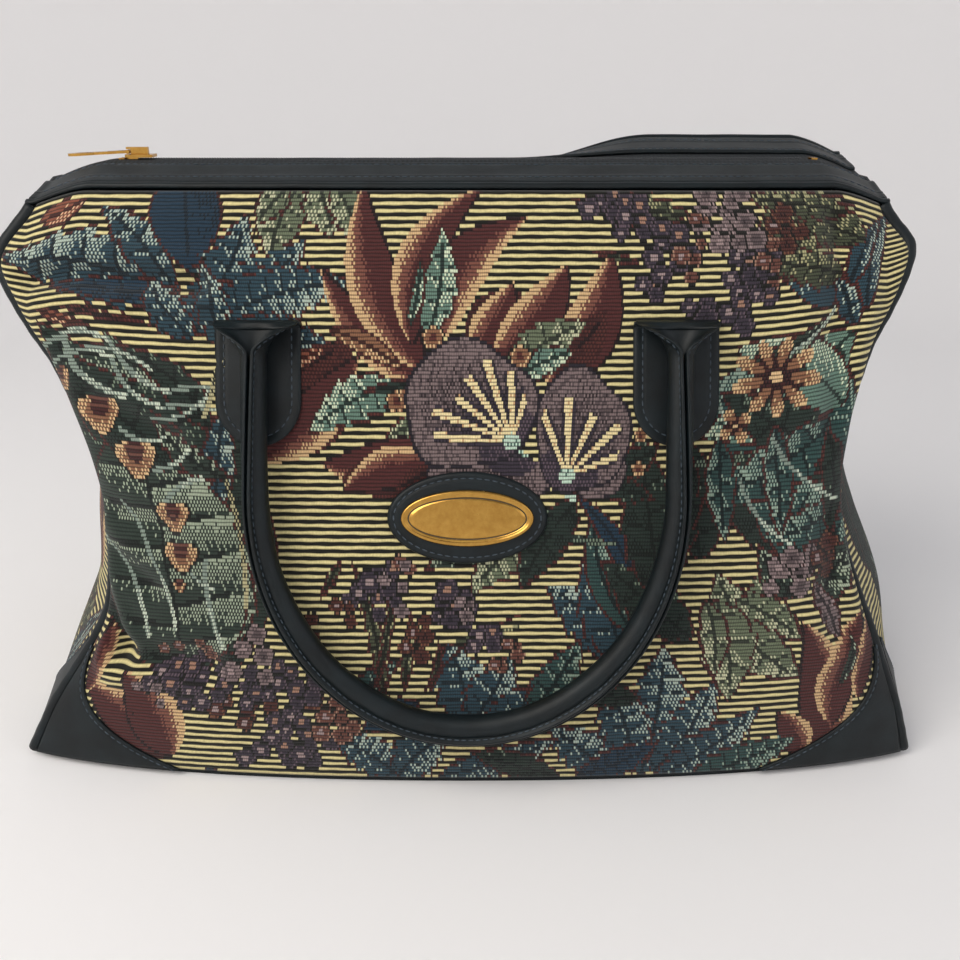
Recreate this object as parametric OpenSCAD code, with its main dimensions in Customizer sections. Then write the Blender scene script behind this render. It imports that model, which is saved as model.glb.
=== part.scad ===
// Carpet bag: a soft tapestry travel bag with vinyl trim, a zip along the top and two rolled handles.

/* [Part] */
// Sub-part to draw

/* [Body] */
// Width between the side seams at the base
base_w = 458; // [400:1:500]
// Depth between the side seams at the base
base_d = 200; // [160:1:230]
// How far each long side bulges past its side seams at the base
base_bulge = 23; // [12:1:32]
// Height of the seam where the zip bands start
seam_z = 281; // [245:1:315]
// Depth between the two top seams
top_d = 84; // [70:1:100]
// Thickness of the padded tapestry
cloth_t = 2.4; // [1.6:0.1:3]
// Thickness of the base panel
base_t = 4; // [3:0.5:6]
// Thickness of the stiffening board
board_t = 2.5; // [1.5:0.5:4]
// Diameter of the piping cord
piping_d = 6.4; // [4:0.2:8]
// Gap left between sewn layers
sewn_gap = 0.12; // [0.1:0.02:0.3]

/* [Corner patches] */
// Length of a panel's corner patch along the base
patch_w = 82; // [60:1:110]
// Height of a corner patch up the side seam
patch_h = 58; // [40:1:80]
// Length of a gusset's corner patch along the base
side_patch_w = 56; // [40:1:80]
// Thickness of the patch vinyl
patch_t = 1.2; // [0.8:0.1:2]

/* [Zip top] */
// Slope of the zip bands
band_slope = 17; // [10:1:25]
// Thickness of a zip band
band_t = 1.8; // [1.2:0.1:2.6]
// Half of the gap between the two zip bands
mouth_half = 13; // [10:0.5:16]
// Length of each sinking end of the zip
end_run = 26.5; // [20:0.5:40]
// How far the ends of the top sink
end_drop = 8; // [4:1:14]
// Thickness of the zip tape
tape_t = 0.8; // [0.5:0.1:1.2]
// Distance from one zip tooth to the next
tooth_pitch = 2.5; // [2:0.1:3.5]
// Reach of a zip tooth past the middle line
tooth_reach = 0.7; // [0.4:0.1:0.9]
// Thickness of the zip teeth
tooth_t = 2.4; // [2:0.1:3]

/* [Slider] */
// Length of the zip slider
slider_l = 14; // [11:0.5:18]
// Width of the zip slider
slider_w = 9.6; // [8.6:0.2:11.4]
// Thickness of the slider's plates
plate_t = 1.4; // [1:0.1:1.8]
// Length of the pull from its pivot
pull_l = 31; // [24:1:36]
// Width of the pull's oval end
pull_w = 8; // [6.4:0.2:10]
// Gap between the tip of the resting pull and the teeth
pull_clear = 0.6; // [0.4:0.1:1.2]

/* [Handles] */
// Half distance between the two tabs of a handle
tab_x = 98; // [80:1:120]
// Height of the tabs' top edge
tab_z = 222; // [190:1:235]
// Height of a tab
tab_h = 52; // [42:1:64]
// Thickness of the handle's vinyl strip
strip_t = 1.6; // [1.2:0.1:2.2]
// Radius of the rolled handle to the middle of the strip
roll_r = 5.2; // [4.4:0.1:6.4]
// Height of the sewn fin along a handle
fin_h = 3.8; // [3:0.2:5]
// Drop of a handle below its fold
handle_drop = 184; // [150:1:204]
// Length of a handle's straight legs
leg_l = 72; // [50:1:90]
// How far the bottom of the bow stands off the panel, to the middle of its strip
bow_clear = 8; // [7:0.5:14]
// Radius of the fold over a tab
fold_r = 2.6; // [2:0.1:4]
// Running gap at a handle's fold
hinge_gap = 0.8; // [0.6:0.1:0.9]

/* [Badge] */
// Width of the oval badge patch
badge_w = 76; // [60:1:96]
// Height of the oval badge patch
badge_h = 44; // [34:1:54]
// Height of the badge's centre above the floor
badge_z = 137; // [110:1:160]
// Thickness of the badge patch
badge_t = 2.2; // [1.4:0.2:3]
// Width of the oval plate
oval_w = 63; // [48:1:72]
// Height of the oval plate
oval_h = 27; // [20:1:34]
// Thickness of the oval plate at its rim
oval_t = 1.6; // [1.2:0.1:2.4]

/* [Hidden] */

tapestry_col = [0.62, 0.58, 0.42];
vinyl_col = [0.16, 0.19, 0.22];
tape_col = [0.1, 0.1, 0.11];
board_col = [0.6, 0.5, 0.38];
gold_col = [0.8, 0.65, 0.3];
cord_col = [0.85, 0.83, 0.76];

// Counts of the steps that the curved pieces are drawn in
panel_cols = 22;
panel_rows = 18;
gusset_cols = 8;
cord_sides = 6;
patch_cols = 4;
tab_cols = 6;
roll_steps = 8;
bow_steps = 14;
oval_steps = 64;

piping_r = piping_d / 2;
edge_in = piping_r + sewn_gap;
body_h = seam_z - base_t;

// Shares of the base's half width that the side seam has at shares of the height
seam_width_shares = [
  [0, 1], [0.1, 0.95], [0.2, 0.885], [0.3, 0.825], [0.42, 0.79], [0.54, 0.783],
  [0.7, 0.845], [0.82, 0.92], [0.9, 0.945], [1, 0.885]
];
// Shares of the seam's half width over which a panel turns towards its seam
seam_turn_shares = [
  [0, 0.2], [0.2, 0.14], [0.4, 0.1], [0.6, 0.09], [0.8, 0.06], [0.9, 0.055], [1, 0.15]
];
// Angles at which a panel meets its seam, at shares of the height
seam_angle_shares = [[0, 18], [0.2, 45], [0.42, 98], [0.6, 104], [0.78, 60], [0.9, 40], [1, 10]];
// Shares of the base's half depth that a gusset bulges, at shares of the height
gusset_bulge_shares = [[0, 0.06], [0.28, 0.26], [0.55, 0.18], [0.8, -0.14], [1, 0]];
mid_share = 0.45;
seam_bow = 1.4;
panel_bow = 1.6;
drop_bow = 1.5;
seam_top_share = 0.95;

// Smooth curve through a table of places and values
function place(tab, k, i = 0) =
  i >= len(tab) - 2 || k <= tab[i + 1][0] ? i : place(tab, k, i + 1);
function rise(tab, i) =
  let (a = max(i - 1, 0), b = min(i + 1, len(tab) - 1))
  (tab[b][1] - tab[a][1]) / (tab[b][0] - tab[a][0]);
function curve(tab, k) =
  let (i = place(tab, k), a = tab[i], b = tab[i + 1], h = b[0] - a[0], s = (k - a[0]) / h)
  (2 * s ^ 3 - 3 * s ^ 2 + 1) * a[1] + (s ^ 3 - 2 * s ^ 2 + s) * h * rise(tab, i)
  + (3 * s ^ 2 - 2 * s ^ 3) * b[1] + (s ^ 3 - s ^ 2) * h * rise(tab, i + 1);

// Shape of the body: the side seam and the middle of the long sides, at a share of the height
function seam_x(v) = base_w / 2 * curve(seam_width_shares, v);
top_half = seam_x(1);
straight_half = top_half - end_run;
top_seam_y = top_d / 2 * seam_top_share;
function seam_y(v) = top_seam_y + (base_d / 2 - top_seam_y) * (1 - v ^ seam_bow);
function mid_y(v) = top_d / 2 + (base_d / 2 + base_bulge - top_d / 2) * (1 - v ^ panel_bow);
function end_share(x) = max(0, min(1, (abs(x) - straight_half) / (top_half - straight_half)));
function sink(x) = end_drop * end_share(x) ^ drop_bow;
function seam_height(v) = base_t + v * (body_h - sink(seam_x(v)));

// Level section of a long side, from its middle to its seam
function bend(p, k) =
  (1 - k) ^ 3 * p[0] + 3 * (1 - k) ^ 2 * k * p[1] + 3 * (1 - k) * k ^ 2 * p[2] + k ^ 3 * p[3];
function bend_way(p, k) =
  3 * (1 - k) ^ 2 * (p[1] - p[0]) + 6 * (1 - k) * k * (p[2] - p[1]) + 3 * k ^ 2 * (p[3] - p[2]);
function section(v) =
  let (
    w = seam_x(v),
    y = -mid_y(v),
    turn = curve(seam_angle_shares, v),
    way = [cos(turn), sin(turn)],
    edge = [w, -seam_y(v)] - edge_in * way
  )
  [[0, y], [mid_share * w, y], edge - w * curve(seam_turn_shares, v) * way, edge];
function panel_point(u, v, out) =
  let (
    p = section(v),
    k = abs(u),
    side = u < 0 ? -1 : 1,
    at = bend(p, k),
    d = bend_way(p, k),
    way = d / norm(d),
    q = at + out * [way[1], -way[0]]
  )
  [side * q[0], q[1], base_t + v * (body_h - sink(at[0]))];
function panel_share(x, v, lo = 0, hi = 0.9, n = 20) =
  let (m = (lo + hi) / 2)
  n == 0 ? m
  : bend(section(v), m)[0] < abs(x) ? panel_share(x, v, m, hi, n - 1)
  : panel_share(x, v, lo, m, n - 1);
function on_panel(x, z, out) =
  let (v = (z - base_t) / body_h)
  panel_point((x < 0 ? -1 : 1) * panel_share(x, v), v, out);

// Level section of a gusset, from the front seam to the back seam
function gusset_bulge(v) = base_d / 2 * curve(gusset_bulge_shares, v);
function gusset_point(s, v, out) =
  let (
    turn = atan(2 * gusset_bulge(v) / seam_y(v)),
    half = seam_y(v) - edge_in * cos(turn),
    x = seam_x(v) + edge_in * sin(turn) + gusset_bulge(v) * (1 - s ^ 2),
    lean = atan(2 * gusset_bulge(v) * s / half),
    up = v ^ 3 * end_rise * (1 - abs(s))
  )
  [x + out * cos(lean), half * s + out * sin(lean), seam_height(v) + up];

// Slope of the top from the seam to the zip tape
band_back = band_t * 0.4;
function roof_y(x) = top_seam_y + (top_d / 2 - top_seam_y) * (1 - min(1, abs(x / top_half)) ^ 2);
function band_mid(x, w) =
  let (y = roof_y(x), run = (y - mouth_half) * w)
  [x, -y + run, seam_z + sewn_gap + band_back + run * tan(band_slope) - sink(x)];
tape_flat = slider_w / 2 + 3 * sewn_gap;
tape_tuck = mouth_half / 2;
tape_root = tooth_t - 2 * sewn_gap;
layer_drop = (band_back + tape_t / 2) / cos(band_slope) + sewn_gap;
tape_z = seam_z + sewn_gap + band_back - layer_drop + (top_seam_y - tape_flat) * tan(band_slope);
end_rise = tape_z - seam_z - 2 * tape_t - cloth_t;
function tape_mid(x, y) =
  [x, -y, tape_z - max(0, y - tape_flat) * tan(band_slope) - sink(x)];

// Stations along the top, closer together where the ends sink
end_steps = 6;
top_long = top_half + piping_r;
station_xs = concat(
  [for (i = [end_steps:-1:1]) -straight_half - (top_long - straight_half) * i / end_steps],
  [for (i = [-2:2]) straight_half * i / 2],
  [for (i = [1:end_steps]) straight_half + (top_long - straight_half) * i / end_steps]
);

// Handle: where the fold turns, the line of the grip, and the roll of its strip
strip_half = PI * roll_r + fin_h;
tab_off = cloth_t / 2 + sewn_gap + strip_t / 2;
fold_y = on_panel(tab_x - strip_half, tab_z, tab_off)[1] - fold_r - hinge_gap - strip_t / 2;
fold_z = tab_z + fold_r;
// The legs set out along the panel's slope, and the bow ends at its clearance from the panel
tab_v = (tab_z - base_t) / body_h;
low_v = (fold_z - handle_drop - base_t) / body_h;
lean_top = (mid_y(0.98 * tab_v) - mid_y(tab_v)) / (0.02 * tab_v * body_h);
lean_low = 2 * (mid_y(low_v) + bow_clear + fold_y) / handle_drop - lean_top;
function lean(h) = lean_top + (lean_low - lean_top) * h / handle_drop;
function lean_y(h) = lean_top * h + (lean_low - lean_top) * h ^ 2 / handle_drop / 2;
bow_h = handle_drop - leg_l;
roll_l = 2.7 * roll_r;
roll_shares = [0, 0.3, 0.6, 0.82, 1];
leg_stops = concat([for (s = roll_shares) roll_l * s], [(roll_l + leg_l) / 2, leg_l]);
// Each stop of the grip's line: across, down, and its direction in those two
grip_line = concat(
  [for (h = leg_stops) [-tab_x, h, 0, 1]],
  [for (i = [1:bow_steps - 1])
    let (a = 180 * i / bow_steps, t = [tab_x * sin(a), bow_h * cos(a)])
    [-tab_x * cos(a), leg_l + bow_h * sin(a), t[0] / norm(t), t[1] / norm(t)]],
  [for (i = [len(leg_stops) - 1:-1:0]) [tab_x, leg_stops[i], 0, -1]]
);
function grip_roll(stop) = min(1, max(0, stop[1] / roll_l)) ^ 0.8;
function grip_twist(stop) = 48 * max(0, min(1, (stop[1] - roll_l) / (handle_drop - roll_l)));
// Turns a place across and in front of the strip into the bag's own axes
function grip_place(stop, o, f) =
  let (
    sl = lean(stop[1]),
    n = norm([1, sl]),
    down = [0, -sl, -1] / n,
    front = [0, -1, sl] / n,
    out = [-stop[3], 0, 0] + stop[2] * down
  )
  [stop[0], fold_y - lean_y(stop[1]), fold_z - stop[1]] + o * out + f * front;
function twisted(p, a) =
  let (q = p - [0, roll_r])
  [q[0] * cos(a) + q[1] * sin(a), roll_r - q[0] * sin(a) + q[1] * cos(a)];
roll_close = 180 - (strip_t / 2 + sewn_gap) / roll_r * 180 / PI;
function strip_place(stop, c, out) =
  let (
    p = max(grip_roll(stop), 0.02),
    r = roll_r / p,
    w = roll_close * p,
    arc = min(1, max(-1, c)),
    a = w * arc,
    flat = [r * sin(a), r * (1 - cos(a))],
    side = c < 0 ? -1 : 1,
    way = w * side - side * 90 * p ^ 5,
    fin = max(0, abs(c) - 1) * fin_h * side,
    n = abs(c) > 1 ? way : a,
    q = flat + fin * [cos(way), sin(way)] + out * [sin(n), -cos(n)]
  )
  twisted(q, grip_twist(stop));
strip_cs = concat([2], [for (i = [roll_steps:-1:-roll_steps]) if (i % 2 == 0) i / roll_steps], [-2]);

// Solid between two like grids of points; rows run up and columns run right, seen from outside.
// Columns left of the split are cut along the other diagonal, so that both halves mirror
function quad(a, b, c, d) = [[a, b, c], [a, c, d]];
function cell(a, b, c, d, flip) = flip ? quad(b, c, d, a) : quad(a, b, c, d);
module shell(outer, inner, split = 0) {
  nr = len(outer) - 1;
  nc = len(outer[0]) - 1;
  w = nc + 1;
  m = (nr + 1) * w;
  points = concat([for (r = outer) each r], [for (r = inner) each r]);
  skins = [for (i = [0:nr - 1]) for (j = [0:nc - 1])
    let (a = i * w + j)
    each concat(
      cell(a, a + w, a + w + 1, a + 1, j < split),
      cell(m + a, m + a + 1, m + a + w + 1, m + a + w, j < split)
    )];
  low = [for (j = [0:nc - 1]) each quad(j, j + 1, m + j + 1, m + j)];
  high = [for (j = [0:nc - 1]) let (a = nr * w + j) each quad(a + 1, a, m + a, m + a + 1)];
  left = [for (i = [0:nr - 1]) let (a = i * w) each quad(a + w, a, m + a, m + a + w)];
  right = [for (i = [0:nr - 1]) let (a = i * w + nc) each quad(a, a + w, m + a + w, m + a)];
  polyhedron(points, concat(skins, low, high, left, right));
}

// Solid through rings of points
module tube(rings) {
  n = len(rings[0]);
  last = (len(rings) - 1) * n;
  sides = [for (i = [0:len(rings) - 2]) for (j = [0:n - 1])
    let (a = i * n + j, b = i * n + (j + 1) % n)
    each quad(a, b, b + n, a + n)];
  ends = [for (j = [1:n - 2]) each [[0, j + 1, j], [last, last + j, last + j + 1]]];
  polyhedron([for (r = rings) each r], concat(sides, ends));
}
function ring(at, e1, e2, r, n) =
  [for (j = [0:n - 1]) at + r * cos(360 * j / n) * e1 + r * sin(360 * j / n) * e2];

function oval(w, h) =
  [for (i = [0:oval_steps - 1])
    let (a = 360 * i / oval_steps)
    [w / 2 * cos(a), h / 2 * sin(a)]];

// Front view to back view, and right side to left side
module at_back() mirror([0, 1, 0]) children();
module at_left() mirror([1, 0, 0]) children();

// Tapestry walls
module long_panel() {
  us = [for (j = [0:panel_cols]) 2 * j / panel_cols - 1];
  vs = [for (i = [0:panel_rows]) i / panel_rows];
  shell(
    [for (v = vs) [for (u = us) panel_point(u, v, cloth_t / 2)]],
    [for (v = vs) [for (u = us) panel_point(u, v, -cloth_t / 2)]],
    panel_cols / 2
  );
}
module side_panel() {
  ss = [for (j = [0:gusset_cols]) 2 * j / gusset_cols - 1];
  vs = [for (i = [0:panel_rows]) i / panel_rows];
  shell(
    [for (v = vs) [for (s = ss) gusset_point(s, v, cloth_t / 2)]],
    [for (v = vs) [for (s = ss) gusset_point(s, v, -cloth_t / 2)]]
  );
}
module front_panel() color(tapestry_col) long_panel();
module back_panel() color(tapestry_col) at_back() long_panel();
module right_gusset() color(tapestry_col) side_panel();
module left_gusset() color(tapestry_col) at_left() side_panel();

// Base: the section of the body at the floor, drawn in by a margin; the board's corners are cut off
function base_outline(inset, cut) =
  let (
    front = [for (j = [cut - panel_cols:panel_cols - cut])
      let (p = panel_point(j / panel_cols, 0, -inset)) [p[0], p[1]]],
    side = [for (j = [cut - gusset_cols:gusset_cols - cut])
      let (p = gusset_point(j / gusset_cols, 0, -inset)) [p[0], p[1]]]
  )
  concat(front, side, -front, -side);
module base_panel() color(vinyl_col) linear_extrude(base_t) polygon(base_outline(cloth_t / 2, 0));
module base_board() color(board_col)
  translate([0, 0, base_t]) linear_extrude(board_t) polygon(base_outline(piping_d, 1));

// Corner patches, cut to a hollow curve
patch_reach_share = patch_w / base_w;
side_patch_share = side_patch_w / base_d;
patch_tip_share = 0.94;
patch_bow = 1.5;
patch_in = cloth_t / 2 + 5 * sewn_gap;
patch_rows = max(2, round(patch_h / body_h * panel_rows));
function patch_edge(q) = patch_tip_share * (1 - (1 - q) ^ patch_bow);
function patch_grid(out) =
  [for (i = [0:patch_rows])
    let (q = i / patch_rows, v = i / panel_rows, lo = panel_share(base_w / 2 - patch_w, v))
    [for (j = [0:patch_cols])
      let (a = lo + (1 - lo) * patch_edge(q))
      panel_point(a + (1 - a) * j / patch_cols, v, out)]];
function side_patch_grid(out) =
  [for (i = [0:patch_rows])
    let (q = i / patch_rows, v = i / panel_rows, hi = 2 * side_patch_share - 1)
    [for (j = [0:patch_cols])
      let (b = hi + (-1 - hi) * patch_edge(q))
      gusset_point(-1 + (b + 1) * j / patch_cols, v, out)]];
module panel_patch() shell(patch_grid(patch_in + patch_t), patch_grid(patch_in));
module gusset_patch() shell(side_patch_grid(patch_in + patch_t), side_patch_grid(patch_in));
module front_right_patch() color(vinyl_col) panel_patch();
module front_left_patch() color(vinyl_col) at_left() panel_patch();
module back_right_patch() color(vinyl_col) at_back() panel_patch();
module back_left_patch() color(vinyl_col) at_back() at_left() panel_patch();
module right_front_patch() color(vinyl_col) gusset_patch();
module right_back_patch() color(vinyl_col) at_back() gusset_patch();
module left_front_patch() color(vinyl_col) at_left() gusset_patch();
module left_back_patch() color(vinyl_col) at_back() at_left() gusset_patch();

// Piping along the four side seams
module seam_cord() {
  vs = [for (i = [0:panel_rows]) i / panel_rows];
  tube([for (v = vs)
    ring([seam_x(v), -seam_y(v), seam_height(v)], [1, 0, 0], [0, 1, 0], piping_r, cord_sides)]);
}
module front_right_piping() color(vinyl_col) seam_cord();
module front_left_piping() color(vinyl_col) at_left() seam_cord();
module back_right_piping() color(vinyl_col) at_back() seam_cord();
module back_left_piping() color(vinyl_col) at_back() at_left() seam_cord();

// Zip bands: places across a band, and how far its face stands out there
band_place_shares = [0, 0.04, 0.1, 0.15, 0.5, 1];
band_face_shares = [0.4, 1.1, 1, 0.35, 0.5, 0.4];
function band_grid(face) =
  [for (k = [0:len(band_place_shares) - 1])
    [for (x = station_xs)
      let (out = face ? band_t * band_face_shares[k] : -band_back)
      band_mid(x, band_place_shares[k]) + out * [0, -sin(band_slope), cos(band_slope)]]];
module zip_band() shell(band_grid(true), band_grid(false));
module front_zip_band() color(vinyl_col) zip_band();
module back_zip_band() color(vinyl_col) at_back() zip_band();

// Zip tapes, tucked under the bands
tape_ys = [mouth_half + tape_tuck, mouth_half, tape_flat, tape_root];
function tape_grid(up) =
  [for (y = tape_ys) [for (x = station_xs) tape_mid(x, y) + [0, 0, up]]];
module zip_tape() shell(tape_grid(tape_t / 2), tape_grid(-tape_t / 2));
module front_zip_tape() color(tape_col) zip_tape();
module back_zip_tape() color(tape_col) at_back() zip_tape();

// Zip teeth: a row of teeth on a spine, the second row half a pitch along
nose_l = slider_l / 3;
post_l = nose_l - tooth_pitch / 2;
stop_l = tooth_pitch * 1.2;
nose_x = -straight_half + stop_l + 3 * sewn_gap;
teeth_half = -nose_x - post_l - 3 * sewn_gap;
tooth_count = floor(2 * (teeth_half - tooth_pitch) / tooth_pitch);
tooth_w = tooth_pitch * 0.42;
spine_y = tape_root / 2;
function tooth_row(shift) =
  concat(
    [[teeth_half, -tape_root + sewn_gap], [-teeth_half, -tape_root + sewn_gap]],
    [[-teeth_half, -spine_y]],
    [for (i = [0:tooth_count - 1])
      let (x = -teeth_half + tooth_pitch * (i + 0.5 + shift))
      each [
        [x - tooth_w / 2, -spine_y], [x - tooth_w / 2, tooth_reach],
        [x + tooth_w / 2, tooth_reach], [x + tooth_w / 2, -spine_y]
      ]],
    [[teeth_half, -spine_y]]
  );
module tooth_bar(shift)
  translate([0, 0, tape_z - tooth_t / 2]) linear_extrude(tooth_t) polygon(tooth_row(shift));
module front_zip_teeth() color(tape_col) tooth_bar(0);
module back_zip_teeth() color(tape_col) at_back() tooth_bar(0.5);

// Stops that clip on the tapes past the ends of the teeth
stop_h = tape_t + 2 * sewn_gap;
module tape_stop(x, y) difference() {
  translate([x - stop_l / 2, y - tape_root / 2, tape_z - tooth_t / 2])
    cube([stop_l, tape_root, tooth_t]);
  translate([x - stop_l, y < 0 ? y - tape_root : y, tape_z - stop_h / 2])
    cube([2 * stop_l, tape_root, stop_h]);
}
module zip_end_stops() color(gold_col) {
  stop_x = straight_half - stop_l / 2;
  for (x = [-stop_x, stop_x]) for (s = [-1, 1]) tape_stop(x, s * tape_root);
}

// Slider: two plates joined by a post at the nose, lips round the tapes, and a crown over the pull
rest_x = nose_x + slider_l / 2;
room = tooth_t / 2 + 2 * sewn_gap;
lip_h = room - tape_t / 2 - 3 * sewn_gap;
lip_w = plate_t * 0.6;
bar_r = plate_t * 0.7;
crown_w = plate_t * 1.6;
pivot_x = nose_x + bar_r * 1.2;
pivot_z = tape_z + room + plate_t + bar_r + 2 * sewn_gap;
crown_z = pivot_z + bar_r + 2 * sewn_gap;
module plate_shape() {
  tail = slider_w * 0.78;
  polygon([
    [-slider_l / 2, -slider_w * 0.36], [-slider_l / 3, -slider_w / 2], [0, -slider_w / 2],
    [slider_l / 2, -tail / 2], [slider_l / 2, tail / 2], [0, slider_w / 2],
    [-slider_l / 3, slider_w / 2], [-slider_l / 2, slider_w * 0.36]
  ]);
}
module slider_lip(s) {
  translate([-slider_l / 3, s * (slider_w - lip_w) / 2 - lip_w / 2, 0])
    cube([slider_l / 3, lip_w, lip_h + plate_t / 2]);
}
module zip_slider() color(gold_col) translate([rest_x, 0, 0]) {
  for (s = [-1, 1]) {
    translate([0, 0, tape_z + (s > 0 ? room : -room - plate_t)])
      linear_extrude(plate_t) plate_shape();
    translate([0, 0, tape_z + room - lip_h]) slider_lip(s);
    translate([0, 0, tape_z - room - plate_t / 2]) slider_lip(s);
  }
  translate([-slider_l / 2, -tape_root / 3, tape_z - room - plate_t / 2])
    cube([post_l, tape_root * 2 / 3, 2 * room + plate_t]);
  crown_l = slider_l * 0.62;
  crown_x = pivot_x - rest_x + bar_r + 2 * sewn_gap;
  translate([crown_x, -crown_w / 2, tape_z + room + plate_t / 2])
    cube([crown_l, crown_w, crown_z - tape_z - room - plate_t / 2]);
  translate([pivot_x - rest_x - bar_r, -crown_w / 2, crown_z])
    cube([crown_l + 2 * bar_r + 2 * sewn_gap, crown_w, plate_t * 0.7]);
}

// Pull: a bar under the crown, two arms, and an oval end with a slot
arm_in = crown_w / 2 + 3 * sewn_gap;
arm_w = bar_r * 1.1;
pull_t = bar_r * 1.3;
neck_l = pull_l * 0.56;
pull_dip = atan((pivot_z - tape_z - (tooth_t + pull_t) / 2 - pull_clear) / pull_l);
module pull_plate() translate([0, 0, -pull_t / 2]) linear_extrude(pull_t) {
  difference() {
    union() {
      translate([-neck_l, -arm_in - arm_w]) square([neck_l, 2 * (arm_in + arm_w)]);
      translate([-pull_l + pull_w, 0]) polygon(oval(2 * pull_w, pull_w));
    }
    translate([-pull_l + pull_w, 0]) polygon(oval(pull_w * 1.1, pull_w * 0.36));
    translate([-neck_l * 0.62, -arm_in]) square([neck_l, 2 * arm_in]);
  }
}
module zip_pull() color(gold_col) translate([pivot_x, 0, pivot_z]) rotate([0, -pull_dip, 0]) {
  pull_plate();
  rotate([90, 0, 0]) cylinder(h = 2 * (arm_in + arm_w), r = bar_r, center = true, $fn = 32);
}

// Handle tabs: a rounded plate on the panel whose top turns forward to the fold
foot_angles = [20, 42, 66, 90];
fold_angles = [30, 60, 90];
tab_rows = concat(
  [for (a = foot_angles) [tab_z - tab_h + strip_half * (1 - cos(a)), sin(a), 0]],
  [[tab_z - (tab_h - strip_half) / 2, 1, 0], [tab_z, 1, 0]],
  [for (a = fold_angles) [tab_z, 1, a]]
);
function tab_point(row, c, out) =
  let (
    p = on_panel(tab_x + c * row[1] * strip_half, row[0], tab_off + (row[2] > 0 ? 0 : out)),
    a = row[2]
  )
  a > 0 ? p + [0, -fold_r * (1 - cos(a)) - out * cos(a), fold_r * sin(a) - out * sin(a)] : p;
function lip_row(out) =
  [for (j = [0:tab_cols])
    let (p = tab_point([tab_z, 1, 90], 2 * j / tab_cols - 1, out))
    [p[0], fold_y + strip_t / 2 + hinge_gap - sewn_gap, p[2]]];
function tab_grid(out) =
  concat(
    [for (row = tab_rows) [for (j = [0:tab_cols]) tab_point(row, 2 * j / tab_cols - 1, out)]],
    [lip_row(out)]
  );
module handle_tab() shell(tab_grid(strip_t / 2), tab_grid(-strip_t / 2));
module front_right_tab() color(vinyl_col) handle_tab();
module front_left_tab() color(vinyl_col) at_left() handle_tab();
module back_right_tab() color(vinyl_col) at_back() handle_tab();
module back_left_tab() color(vinyl_col) at_back() at_left() handle_tab();

// Handles: the strip lies flat at its folds and rolls round a cord between them
function strip_grid(out) =
  [for (stop = grip_line)
    [for (c = strip_cs) let (q = strip_place(stop, c, out)) grip_place(stop, q[0], q[1])]];
module grip() shell(strip_grid(strip_t / 2), strip_grid(-strip_t / 2));
cord_r = roll_r - strip_t / 2 - 2 * sewn_gap;
module grip_cord() {
  stops = [for (s = grip_line) if (grip_roll(s) >= 1) s];
  tube([for (s = stops)
    [for (j = [0:cord_sides - 1])
      let (a = -360 * j / cord_sides)
      grip_place(s, cord_r * cos(a), roll_r + cord_r * sin(a))]]);
}
module front_handle_grip() color(vinyl_col) grip();
module back_handle_grip() color(vinyl_col) at_back() grip();
module front_handle_cord() color(cord_col) grip_cord();
module back_handle_cord() color(cord_col) at_back() grip_cord();

// Badge: an oval patch on the front with a raised oval plate
badge_v = (badge_z - base_t) / body_h;
badge_tilt = atan(
  (mid_y(badge_v - 1 / panel_rows) - mid_y(badge_v + 1 / panel_rows)) * panel_rows / 2 / body_h
);
rim_w = oval_t;
groove_t = oval_t / 4;
module on_badge(out) {
  lift = cloth_t / 2 / cos(badge_tilt) + sewn_gap + out;
  translate([0, -mid_y(badge_v), badge_z]) rotate([90 - badge_tilt, 0, 0])
    translate([0, 0, lift]) children();
}
module badge_patch() color(vinyl_col) on_badge(0) linear_extrude(badge_t) polygon(oval(badge_w, badge_h));
module badge_plate() color(gold_col) on_badge(badge_t + sewn_gap / 2) difference() {
  union() {
    linear_extrude(oval_t) polygon(oval(oval_w, oval_h));
    linear_extrude(oval_t + groove_t) polygon(oval(oval_w - 2 * rim_w, oval_h - 2 * rim_w));
  }
  translate([0, 0, oval_t]) linear_extrude(oval_t) difference() {
    polygon(oval(oval_w - 4 * rim_w, oval_h - 4 * rim_w));
    polygon(oval(oval_w - 5 * rim_w, oval_h - 5 * rim_w));
  }
}

front_panel();
back_panel();
left_gusset();
right_gusset();
base_panel();
base_board();
front_left_patch();
front_right_patch();
back_left_patch();
back_right_patch();
left_front_patch();
left_back_patch();
right_front_patch();
right_back_patch();
front_left_piping();
front_right_piping();
back_left_piping();
back_right_piping();
front_zip_band();
back_zip_band();
front_zip_tape();
back_zip_tape();
front_zip_teeth();
back_zip_teeth();
zip_end_stops();
zip_slider();
zip_pull();
front_left_tab();
front_right_tab();
back_left_tab();
back_right_tab();
front_handle_grip();
back_handle_grip();
front_handle_cord();
back_handle_cord();
badge_patch();
badge_plate();
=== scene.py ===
# %% [markdown]
# # A carpet bag in Blender
# A carpet bag is a soft travel bag of heavy floral tapestry, trimmed with dark vinyl. The solids of
# the frame give every piece its place; this lesson dresses them with cloth, leather-cloth and brass.

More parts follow.
